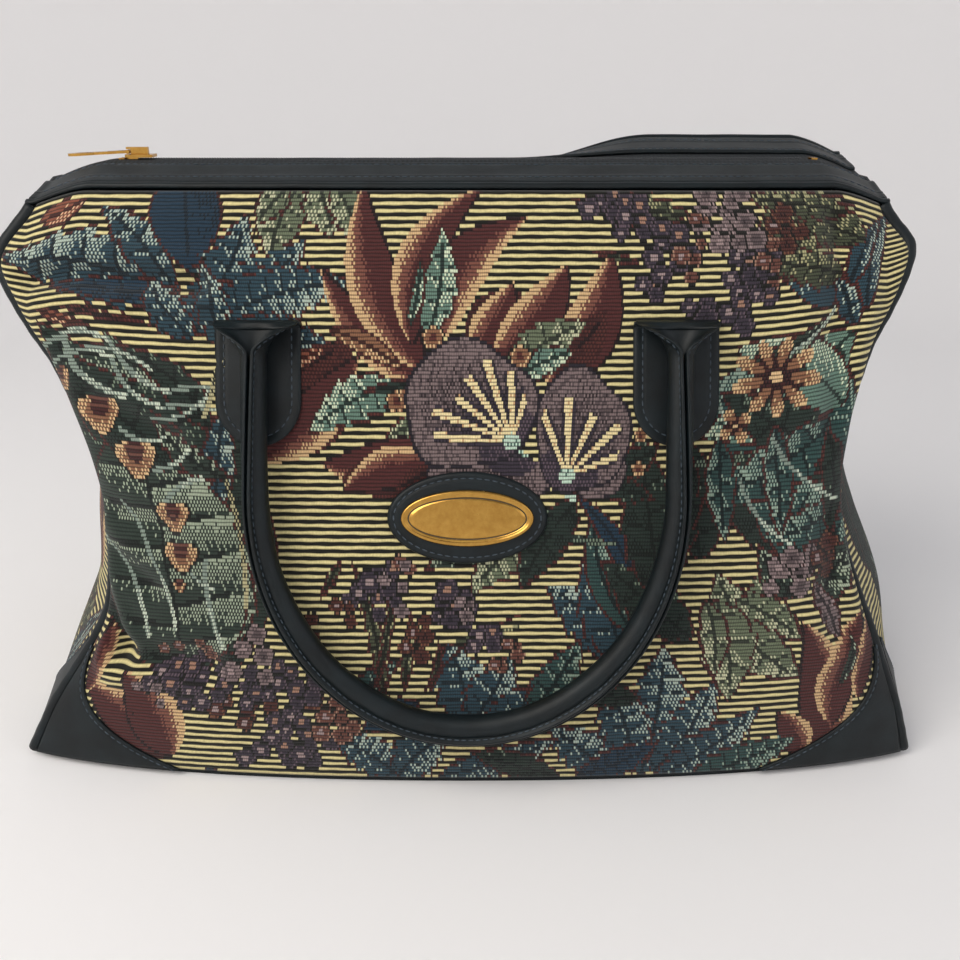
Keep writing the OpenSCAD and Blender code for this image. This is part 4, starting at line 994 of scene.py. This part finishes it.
# %% Brass, tape and coil materials
brass = mottled("polished brass plate", ("#99692b", "#d4aa5a"), 4, 6.0, 0.7, (0.14, 0.34), Metallic=1.0)
webbing, tree, base = new_material("woven polyester tape", Roughness=0.85)
steer(tree, base, wave(tree, 1.1, 0.4), ("#0e1114", "#20262b"), relief=(0.4, 0.2))
nylon = mottled("moulded nylon coil", ("#121519", "#252b31"), 3, 3.0, gloss=(0.3, 0.5), IOR=1.53)
for name in ("zip_slider", "zip_pull", "zip_end_stops"):
    soft = coat(name, brass).modifiers.new("rubbed edges", "BEVEL")
    soft.width, soft.segments, soft.limit_method = 0.35 * MM, 2, "ANGLE"
print("materials:", brass.name, webbing.name, nylon.name)

# %% Zip bands
TOP_LONG, WELT_R, FOLDED_TO = TOP_HALF + PIPING_R, 2.1, 14
STITCH_ROWS, STITCH_END = (11.0, 26.8), 2
top_x = np.linspace(-TOP_LONG, TOP_LONG, 281)


def roof_y(x):
    return TOP_SEAM_Y + (TOP_D / 2 - TOP_SEAM_Y) * (1 - np.minimum(1, np.abs(x / TOP_HALF)) ** 2)


def on_band(x, d, out):
    """Point of the front band: d mm up its slope from the lower edge, out mm off its middle layer."""
    run = d * math.cos(BAND_SLOPE)
    z = SEAM_Z + SEWN + BAND_BACK + run * math.tan(BAND_SLOPE) - sink(x)
    y = run - roof_y(x) - out * math.sin(BAND_SLOPE)
    return np.stack(np.broadcast_arrays(x, y, z + out * math.cos(BAND_SLOPE)), -1)


def band_face(d, long):
    """Height of the band's face: welt, groove, folded layer, stitch rows, rounded mouth edge."""
    welt = 0.45 + 1.4 * np.sqrt(np.clip(1 - ((d - WELT_R) / WELT_R) ** 2, 0, 1))
    flat = 0.85 + 0.35 * np.clip(FOLDED_TO - d, 0, 1) - 0.6 * np.exp(-((d - 4.3) / 0.7) ** 2)
    for row in STITCH_ROWS:
        flat = flat - 0.22 * np.exp(-((d - row) / 0.8) ** 2)
    return np.where(d < 2 * WELT_R, welt, flat) * np.sqrt(np.clip((long - d) / 1.2, 0.05, 1))


long = (roof_y(top_x) - MOUTH_HALF) / math.cos(BAND_SLOPE)
shares = np.concatenate([np.linspace(0, 0.15, 15), np.linspace(0.17, 0.9, 24), np.linspace(0.91, 1, 8)])
d = shares[:, None] * long[None]
ripple = 0.12 * np.sin(top_x / 7.3) * np.sin(top_x / 17.1)
for side, way in WAYS.items():
    outer = on_band(top_x[None], d, band_face(d, long[None]) + ripple[None]) * way
    inner = on_band(top_x[None], d, np.full(d.shape, -BAND_BACK)) * way
    band = slab(f"zip_band_{side}", settle(outer), settle(inner), vinyl)
    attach(band, "bag")
    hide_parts(f"{side}_zip_band")
    for row in STITCH_ROWS:
        keep = np.abs(top_x) < TOP_HALF - STITCH_END
        stitch_lines.append(settle(on_band(top_x[keep], row, band_face(row, 30.0) + 0.1) * way))
print("zip bands:", round(2 * TOP_LONG), "mm long")

# %% Zip tapes
TAPE_ROOT, TEETH_HALF, STOP_LONG, TAPE_SLIT = 2.4 - 2 * SEWN, 168.9, 6.0, 0.05
tape_y = np.append(np.linspace(MOUTH_HALF * 1.5, TAPE_FLAT, 10), np.linspace(TAPE_FLAT - 1, TAPE_ROOT, 4))
tape_y = tape_y[:, None]
# past the end stops the two tapes meet
meet = (TAPE_ROOT - TAPE_SLIT) * smooth((np.abs(top_x) - TEETH_HALF - STOP_LONG) / STOP_LONG)
near = np.clip((TAPE_FLAT - tape_y) / (TAPE_FLAT - TAPE_ROOT), 0, 1)
drop = np.maximum(0, tape_y - TAPE_FLAT) * math.tan(BAND_SLOPE) + sink(top_x)
tape_mid = np.stack(np.broadcast_arrays(top_x, near * meet - tape_y, TAPE_Z - drop), -1)
for side, way in WAYS.items():
    layers = [settle(tape_mid * way + [0, 0, up]) for up in (TAPE_T / 2, -TAPE_T / 2)]
    tape = slab(f"zip_tape_{side}", *layers, webbing)
    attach(tape, "bag")
    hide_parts(f"{side}_zip_tape")
print("zip tapes:", 2, "tucked under the bands")

# %% Geometry Nodes tools
def finish_tree(tree, geometry):
    """Ends a tree in Realize Instances and Set Material."""
    real = add(tree, "GeometryNodeRealizeInstances", {0: geometry})
    finish = {0: real.outputs[0], "Material": tree.nodes["Group Input"].outputs["Material"]}
    add(tree, "NodeGroupOutput", {0: add(tree, "GeometryNodeSetMaterial", finish).outputs[0]})


def new_tree(name, **inputs):
    """A geometry tree with named inputs."""
    tree = bpy.data.node_groups.new(name, "GeometryNodeTree")
    tree.interface.new_socket("Geometry", in_out="INPUT", socket_type="NodeSocketGeometry")
    for label, kind in inputs.items():
        tree.interface.new_socket(label, in_out="INPUT", socket_type="NodeSocket" + kind)
    tree.interface.new_socket("Geometry", in_out="OUTPUT", socket_type="NodeSocketGeometry")
    tree.nodes.new("NodeGroupInput").name = "Group Input"
    return tree


def grow(name, points, edges, tree, **values):
    """Runs a tree on a line of points and keeps the result as a plain mesh."""
    mesh = bpy.data.meshes.new(name)
    mesh.from_pydata((points * MM).tolist(), edges, [])
    seed = put(name, mesh)
    modifier = seed.modifiers.new("grow", "NODES")
    modifier.node_group = tree
    for item in tree.interface.items_tree:
        if item.in_out == "INPUT" and item.name in values:
            modifier[item.identifier] = values[item.name]
    bpy.context.view_layer.update()
    grown = bpy.data.meshes.new_from_object(seed.evaluated_get(bpy.context.evaluated_depsgraph_get()))
    seed.modifiers.remove(modifier)
    seed.data = grown
    grown.name = name
    grown.polygons.foreach_set("use_smooth", [True] * len(grown.polygons))
    return seed


print("tools: trees of geometry nodes, grown into plain meshes")

# %% Coil by Geometry Nodes
COIL_PITCH, COIL_OFF, COIL_TILT = 1.3, 1.05, math.radians(78)
COIL = {"Reach": 1.35 * MM, "Rise": 0.85 * MM, "Wire": 0.35 * MM, "Material": nylon}
coil_tree = new_tree("zip_coil", Reach="Float", Rise="Float", Wire="Float", Material="Material")
given = coil_tree.nodes["Group Input"].outputs
loop = add(coil_tree, "GeometryNodeCurvePrimitiveCircle", {"Resolution": 10, "Radius": 1.0})
size = add(coil_tree, "ShaderNodeCombineXYZ", {"X": given["Rise"], "Y": given["Reach"], "Z": 1.0})
stand = add(coil_tree, "GeometryNodeTransform", {0: loop.outputs[0], "Scale": size.outputs[0]})
stand = add(coil_tree, "GeometryNodeTransform", {0: stand.outputs[0], "Rotation": (0.0, COIL_TILT, 0.0)})
wire = add(coil_tree, "GeometryNodeCurvePrimitiveCircle", {"Resolution": 5, "Radius": given["Wire"]})
link = add(coil_tree, "GeometryNodeCurveToMesh", {0: stand.outputs[0], 1: wire.outputs[0]})
spread = add(coil_tree, "GeometryNodeInstanceOnPoints", {0: given[0], "Instance": link.outputs[0]})
finish_tree(coil_tree, spread.outputs[0])
for side, spin, late in (("front", -1, 0.0), ("back", 1, 0.5)):
    xs = np.arange(-TEETH_HALF + COIL_PITCH * (0.5 + late), TEETH_HALF, COIL_PITCH)
    line = np.stack(np.broadcast_arrays(xs, spin * COIL_OFF, TAPE_Z), -1)
    coil = grow(f"zip_coil_{side}", line, [], coil_tree, **COIL)
    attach(coil, "bag")
    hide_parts(f"{side}_zip_teeth")
    print(f"zip_coil_{side}: {len(xs)} loops, {len(coil.data.polygons)} faces")

# %% [markdown]
# ## Handles
# Each handle is one strip of vinyl. Its two rounded ends lie flat on the wall as tabs, sewn round their
# edge. Above the tab the strip folds forward, draws together in a Y and rolls round a cord, and its
# edges are sewn to each other as a fin. The fin faces forward on the legs and turns outward round the
# bow. The handle swings at the fold, so the fold is a piece of its own between the two.

# %% Handle line
ROLL_R, STRIP_T, FIN_H, TAB_X, TAB_Z, TAB_H = 5.2, 1.6, 3.8, 98.0, 222.0, 52.0
DROP, LEG_L, FOLD_R, HINGE_GAP = 184.0, 72.0, 2.6, 0.8
BOW_CLEAR, FIN_TURN = 8.0, math.radians(48)
STRIP_HALF = math.pi * ROLL_R + FIN_H
TAB_OFF, ROLL_L = CLOTH_T / 2 + SEWN + STRIP_T / 2, 2.7 * ROLL_R
ROLL_CLOSE = math.pi - (STRIP_T / 2 + SEWN) / ROLL_R


def on_panel(x, z, out):
    v = (z - BASE_T) / BODY_H
    return panel(panel_share(x, v), v, out)


FOLD_Y = float(on_panel(TAB_X - STRIP_HALF, TAB_Z, TAB_OFF)[1]) - FOLD_R - STRIP_T / 2 - HINGE_GAP
FOLD_Z = TAB_Z + FOLD_R
TAB_V, LOW_V = (TAB_Z - BASE_T) / BODY_H, (FOLD_Z - DROP - BASE_T) / BODY_H
LEAN_TOP = float(mid_y(0.98 * TAB_V) - mid_y(TAB_V)) / (0.02 * TAB_V * BODY_H)
LEAN_LOW = 2 * (float(mid_y(LOW_V)) + BOW_CLEAR + FOLD_Y) / DROP - LEAN_TOP


def handle_stops():
    """Places down one leg, round the bow and up the other: x, drop, and the direction in those two."""
    h = np.concatenate([np.linspace(0, ROLL_L, 19), np.linspace(ROLL_L, LEG_L, 24)[1:]])
    a, bow = np.linspace(0, math.pi, 101)[1:-1], DROP - LEG_L
    leg = np.stack([0 * h - TAB_X, h, 0 * h, 0 * h + 1], -1)
    way = np.hypot(TAB_X * np.sin(a), bow * np.cos(a))
    turn = np.stack([-TAB_X * np.cos(a), LEG_L + bow * np.sin(a),
                     TAB_X * np.sin(a) / way, bow * np.cos(a) / way], -1)
    return np.concatenate([leg, turn, leg[::-1] * [-1, 1, 1, -1]])


def strip_section(h, c, out):
    """The strip across: c is 1 where the roll closes and 2 at its edges; out is off its middle layer."""
    p = np.maximum(np.minimum(1, h / ROLL_L) ** 0.8, 0.02)
    r, w, side = ROLL_R / p, ROLL_CLOSE * p, np.where(c < 0, -1, 1)
    a = w * np.clip(c, -1, 1)
    way = side * (w - math.pi / 2 * p**5)
    fin = np.maximum(0, np.abs(c) - 1) * FIN_H * side
    n = np.where(np.abs(c) > 1, way, a)
    qx = r * np.sin(a) + fin * np.cos(way) + out * np.sin(n)
    qy = r * (1 - np.cos(a)) + fin * np.sin(way) - out * np.cos(n) - ROLL_R
    t = FIN_TURN * np.clip((h - ROLL_L) / (DROP - ROLL_L), 0, 1)
    return qx * np.cos(t) + qy * np.sin(t), ROLL_R - qx * np.sin(t) + qy * np.cos(t)


print(f"handle: fold at y {FOLD_Y:.1f}, z {FOLD_Z:.1f} mm")


# %% Points of the handle
def on_handle(stop, c, out):
    """Point of the handle's strip in the bag's frame."""
    x, h, tx, th = (stop[..., i] for i in range(4))
    o, f = strip_section(h, c, out)
    lean = LEAN_TOP + (LEAN_LOW - LEAN_TOP) * h / DROP
    size = np.hypot(1, lean)
    y = FOLD_Y - LEAN_TOP * h + (LEAN_TOP - LEAN_LOW) * h**2 / DROP / 2
    y = y - tx * o * lean / size - f / size
    z = FOLD_Z - h - tx * o / size + f * lean / size
    return np.stack(np.broadcast_arrays(x - th * o, y, z), -1)


def face_out(piece):
    """Turns all faces of a closed piece outward."""
    shell = bmesh.new()
    shell.from_mesh(piece.data)
    bmesh.ops.recalc_face_normals(shell, faces=shell.faces)
    shell.to_mesh(piece.data)
    shell.free()
    return piece


print("handle: line of", len(handle_stops()), "places")

# %% Rolled strips
WRINKLE, WAVER, SEAM_C, THREAD_UP = 0.16, 0.12, 1.45, 0.08
cotton, tree, base = new_material("cotton piping cord", Roughness=0.9)
steer(tree, base, wave(tree, 2, 2.0), ("#8d8472", "#c9c1ae"))
stops = handle_stops()
edge_c = np.array([2, 1.93, 1.7, 1.4, 1.15, 1.04])
strip_c = np.concatenate([edge_c, np.linspace(1, -1, 53), -edge_c[::-1]])
grid, across = stops[:, None], strip_c[None]
along_mm = np.append(0, np.cumsum(np.hypot(np.diff(stops[:, 0]), np.diff(stops[:, 1]))))[:, None]
dropped = stops[:, 1:2]
soft = WRINKLE * np.sin(along_mm / 2.3 + 1.5 * np.sin(along_mm / 11))
soft = soft * np.clip((dropped - LEG_L) / 60, 0, 1) * np.clip(-across, 0, 1)
soft = soft + WAVER * np.sin(along_mm / 9 + 3 * across) * np.clip(dropped / ROLL_L, 0, 1)
thin = STRIP_T / 2 * (1 - 0.55 * np.clip((np.abs(across) - 1.7) / 0.3, 0, 1) ** 3)
roll_outer = on_handle(grid, across, thin + soft * (np.abs(across) < 1))
roll_inner = on_handle(grid, across, -STRIP_T / 2 + 0 * grid[..., 0] + 0 * across)
handle_seams = {}
for side, way in WAYS.items():
    strip = face_out(slab(f"handle_{side}", roll_outer * way, roll_inner * way, vinyl))
    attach(strip, f"{side}_handle")
    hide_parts(f"{side}_handle_grip")
    handle_seams[side] = [on_handle(stops, c, STRIP_T / 2 + THREAD_UP) * way for c in (SEAM_C, -SEAM_C)]
    coat(f"{side}_handle_cord", cotton)
print("handles:", round(float(along_mm[-1, 0])), "mm of rolled strip each")

# %% Layers of a tab and a fold
TAB_LOW, SEW_IN, EDGE_ROUND, SEW_DENT, SEW_WIDE = TAB_Z - TAB_H, 4.3, 1.2, 0.35, 0.8
TAB_PUFF, TAB_DOWN, THREAD_IN, FOLD_OUT, FOLD_IN = 0.15, 0.5, 0.05, 0.28, -0.25
foot = np.linspace(0.02, 1, 26) ** 2 * STRIP_HALF
tab_zs = TAB_LOW + np.concatenate([foot, np.linspace(STRIP_HALF, TAB_H, 22)[1:]])
tab_c = np.linspace(-1, 1, 45)


def tab_x(z, c, inset=0.0):
    """Across the tab at a height: a half circle below, straight above."""
    rise = np.minimum(z - TAB_LOW - STRIP_HALF, 0)
    return TAB_X + c * np.sqrt(np.maximum((STRIP_HALF - inset) ** 2 - rise**2, 0))


def tab_layer(front):
    """Rows up the tab and over its fold, for its face or its back."""
    rows = []
    for z in tab_zs:
        x = tab_x(z, tab_c)
        d = STRIP_HALF - np.hypot(x - TAB_X, min(z - TAB_LOW - STRIP_HALF, 0))
        puff = STRIP_T / 2 * (0.3 + 0.7 * np.sqrt(np.clip(d / EDGE_ROUND, 0, 1)))
        puff -= SEW_DENT * np.exp(-((d - SEW_IN) / SEW_WIDE) ** 2)
        rows.append(on_panel(x, z, TAB_OFF + (puff + TAB_PUFF if front else -STRIP_T / 2 - TAB_DOWN)))
    top = on_panel(tab_x(TAB_Z, tab_c), TAB_Z, TAB_OFF)
    out = STRIP_T / 2 if front else -STRIP_T / 2
    for a in np.radians((18, 36, 54, 72, 90)):
        over = -FOLD_R * (1 - math.cos(a)) - out * math.cos(a)
        rows.append(top + [0, over, FOLD_R * math.sin(a) - out * math.sin(a)])
    lip = rows[-1].copy()
    lip[:, 1] = FOLD_Y + STRIP_T / 2 + HINGE_GAP - SEWN
    return np.stack([*rows, lip])


def fold_layer(side, lift):
    """From the tab's lip over the hinge to the first of the rolling strip."""
    c, half = np.linspace(1, -1, 41) * 2, STRIP_T / 2 + lift
    start = np.array([-TAB_X * side, 0.0, 0.0, 1.0])
    edge = on_handle(np.broadcast_to(start, (len(c), 4)), c, 0.0)
    rows = []
    for back, up in ((4.2, half), (2.4, half), (0.9, half), (-0.25 * half, 0.95 * half),
                     (-0.75 * half, 0.62 * half)):
        rows.append(np.stack(np.broadcast_arrays(edge[:, 0], FOLD_Y + back, FOLD_Z + up), -1))
    for h in (0.25, 1.2, 2.6):
        rows.append(on_handle(np.broadcast_to(start + [0, h, 0, 0], (len(c), 4)), c, -half))
    return np.stack(rows)


print("tab:", len(tab_zs), "rows up to its fold")

# %% Tabs and folds
down = TAB_LOW + STRIP_HALF
turn = np.linspace(0.05, math.pi / 2, 18)
sewn = np.append(np.linspace(TAB_Z - 1, down, 14), down - (STRIP_HALF - SEW_IN) * np.sin(turn))
sewn = [(z, -1) for z in sewn] + [(z, 1) for z in sewn[-2::-1]]
sewn = np.array([on_panel(tab_x(z, c, SEW_IN), z, TAB_OFF + STRIP_T / 2 - THREAD_IN) for z, c in sewn])
tab_face, tab_back = tab_layer(True), tab_layer(False)
for side, way in WAYS.items():
    for sx in (1, -1):
        place = "right" if sx * way[0] > 0 else "left"
        mirror = way * [sx, 1, 1]
        tab = face_out(slab(f"tab_{side}_{place}", tab_face * mirror, tab_back * mirror, vinyl))
        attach(tab, "bag")
        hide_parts(f"{side}_{place}_tab")
        layers = [fold_layer(-sx, lift) * way for lift in (FOLD_OUT, FOLD_IN)]
        fold = face_out(slab(f"fold_{side}_{place}", *layers, vinyl))
        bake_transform(fold)
        stitch_lines.append(sewn * mirror)
print("tabs: 4, each", round(2 * STRIP_HALF), "mm wide with a fold above it")

# %% [markdown]
# ## The badge
# A padded oval of vinyl is sewn to the front, with a domed brass plate on it. The plate has a rounded
# rim and an engraved line round a plain field.

# %% Badge
BADGE_W, BADGE_H, BADGE_Z, BADGE_TIP = 76.0, 44.0, 137.0, math.radians(16.75)
OVAL_W, OVAL_H, DOME, ENGRAVED = 63.0, 27.0, 0.65, (8, 9, 10)
BADGE_SEWN, AROUND = (3.1, 1.85), 120
BADGE_AT = np.array([0, -float(mid_y((BADGE_Z - BASE_T) / BODY_H)), BADGE_Z])
BADGE_OUT = np.array([0, -math.cos(BADGE_TIP), math.sin(BADGE_TIP)])
BADGE_UP = np.array([0, math.sin(BADGE_TIP), math.cos(BADGE_TIP)])
BADGE_LIFT = CLOTH_T / 2 / math.cos(BADGE_TIP) + SEWN
ROUND = np.linspace(0, 2 * math.pi, AROUND, endpoint=False)


def oval(w, h, inset, z):
    """A ring of points on the badge, inset from an oval's edge and z above the cloth."""
    x, y = (w / 2 - inset) * np.cos(ROUND), (h / 2 - inset) * np.sin(ROUND)
    return BADGE_AT + x[:, None] * [1, 0, 0] + y[:, None] * BADGE_UP + (BADGE_LIFT + z) * BADGE_OUT


def oval_piece(name, w, h, steps, dome, dark, *materials):
    """Rings from the edge inward by (inset, z) steps, then a domed field to the middle."""
    rings = [oval(w, h, inset, z) for inset, z in steps]
    inset, z = steps[-1]
    w, h = w - 2 * inset, h - 2 * inset
    for share in np.linspace(1, 0.08, 10)[1:]:
        rings.append(oval(share * w, share * h, 0, z + dome * (1 - share**2)))
    piece = make_piece(name, rings, ring_faces(len(rings), AROUND), *materials)
    for ring in dark:
        for face in piece.data.polygons[ring * AROUND:(ring + 1) * AROUND]:
            face.material_index = 1
    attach(piece, "bag")
    return face_out(piece)


pad_steps = [(1.2, -0.9), (0.2, -0.7), (0, 0.5), (0.25, 1.2), (0.8, 1.7), (1.6, 2.0), (2.4, 1.95),
             (3.1, 1.7), (3.8, 1.95), (4.6, 2.15), (5.4, 2.2)]
pad = oval_piece("badge_pad", BADGE_W, BADGE_H, pad_steps, 0.0, (), vinyl)
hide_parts("badge_patch")
enamel = new_material("dark fill of an engraved line", Roughness=0.6, Base_Color=rgba("#3a2c14"))[0]
plate_steps = [(0, 2.0), (0, 2.9), (0.15, 3.3), (0.5, 3.7), (1.0, 3.9), (1.6, 3.85), (2.1, 3.6),
               (2.4, 3.45), (3.3, 3.5), (3.45, 3.28), (3.85, 3.28), (4.0, 3.52)]
plate = oval_piece("badge_oval", OVAL_W, OVAL_H, plate_steps, DOME, ENGRAVED, brass, enamel)
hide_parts("badge_plate")
sewn = oval(BADGE_W, BADGE_H, *BADGE_SEWN)
stitch_lines.append(np.concatenate([sewn, sewn[:1]]))
print("badge:", BADGE_W, "x", BADGE_H, "mm with a", OVAL_W, "x", OVAL_H, "mm plate")

# %% [markdown]
# ## Stitches
# Every seam that shows is topstitched. The lines of stitching were noted as the pieces were made; one
# Geometry Nodes tree lays a short capsule of thread at each step along them.

# %% Topstitching by Geometry Nodes
THREAD_T, BEAD_FACES, BAG_STITCH, HANDLE_STITCH = 0.7, 30, (3.7, 2.7), (3.4, 2.5)
thread = mottled("twisted polyester thread", ("#1b242c", "#4a5864"), 1.2, Roughness=0.6)
stitch_tree = new_tree("topstitch", Pitch="Float", Length="Float", Thread="Float", Material="Material")
given = stitch_tree.nodes["Group Input"].outputs
line = add(stitch_tree, "GeometryNodeMeshToCurve", {0: given[0]})
steps = {0: line.outputs[0], "Length": given["Pitch"]}
steps = add(stitch_tree, "GeometryNodeResampleCurve", steps, mode="LENGTH")
bead = add(stitch_tree, "GeometryNodeMeshUVSphere", {"Segments": 6, "Rings": 5, "Radius": 0.5})
size = {"X": given["Thread"], "Y": given["Thread"], "Z": given["Length"]}
size = add(stitch_tree, "ShaderNodeCombineXYZ", size)
bead = add(stitch_tree, "GeometryNodeTransform", {0: bead.outputs[0], "Scale": size.outputs[0]})
way = add(stitch_tree, "GeometryNodeInputTangent")
turn = add(stitch_tree, "FunctionNodeAlignRotationToVector", {"Vector": way.outputs[0]}, axis="Z")
laid = add(stitch_tree, "GeometryNodeInstanceOnPoints",
           {0: steps.outputs[0], "Instance": bead.outputs[0], "Rotation": turn.outputs[0]})
finish_tree(stitch_tree, laid.outputs[0])


def sew(name, lines, body, pitch, length):
    """Stitches along several lines, as one mesh that rides one body."""
    first = np.cumsum([0] + [len(p) for p in lines])
    edges = [(k + i, k + i + 1) for k, p in zip(first, lines) for i in range(len(p) - 1)]
    seam = grow(name, np.concatenate(lines), edges, stitch_tree,
                Pitch=pitch * MM, Length=length * MM, Thread=THREAD_T * MM, Material=thread)
    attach(seam, body)
    print(f"{name}: {len(seam.data.polygons) // BEAD_FACES} stitches on {len(lines)} lines")


sew("stitches_bag", stitch_lines, "bag", *BAG_STITCH)
for side, lines in handle_seams.items():
    sew(f"stitches_{side}_handle", lines, f"{side}_handle", *HANDLE_STITCH)
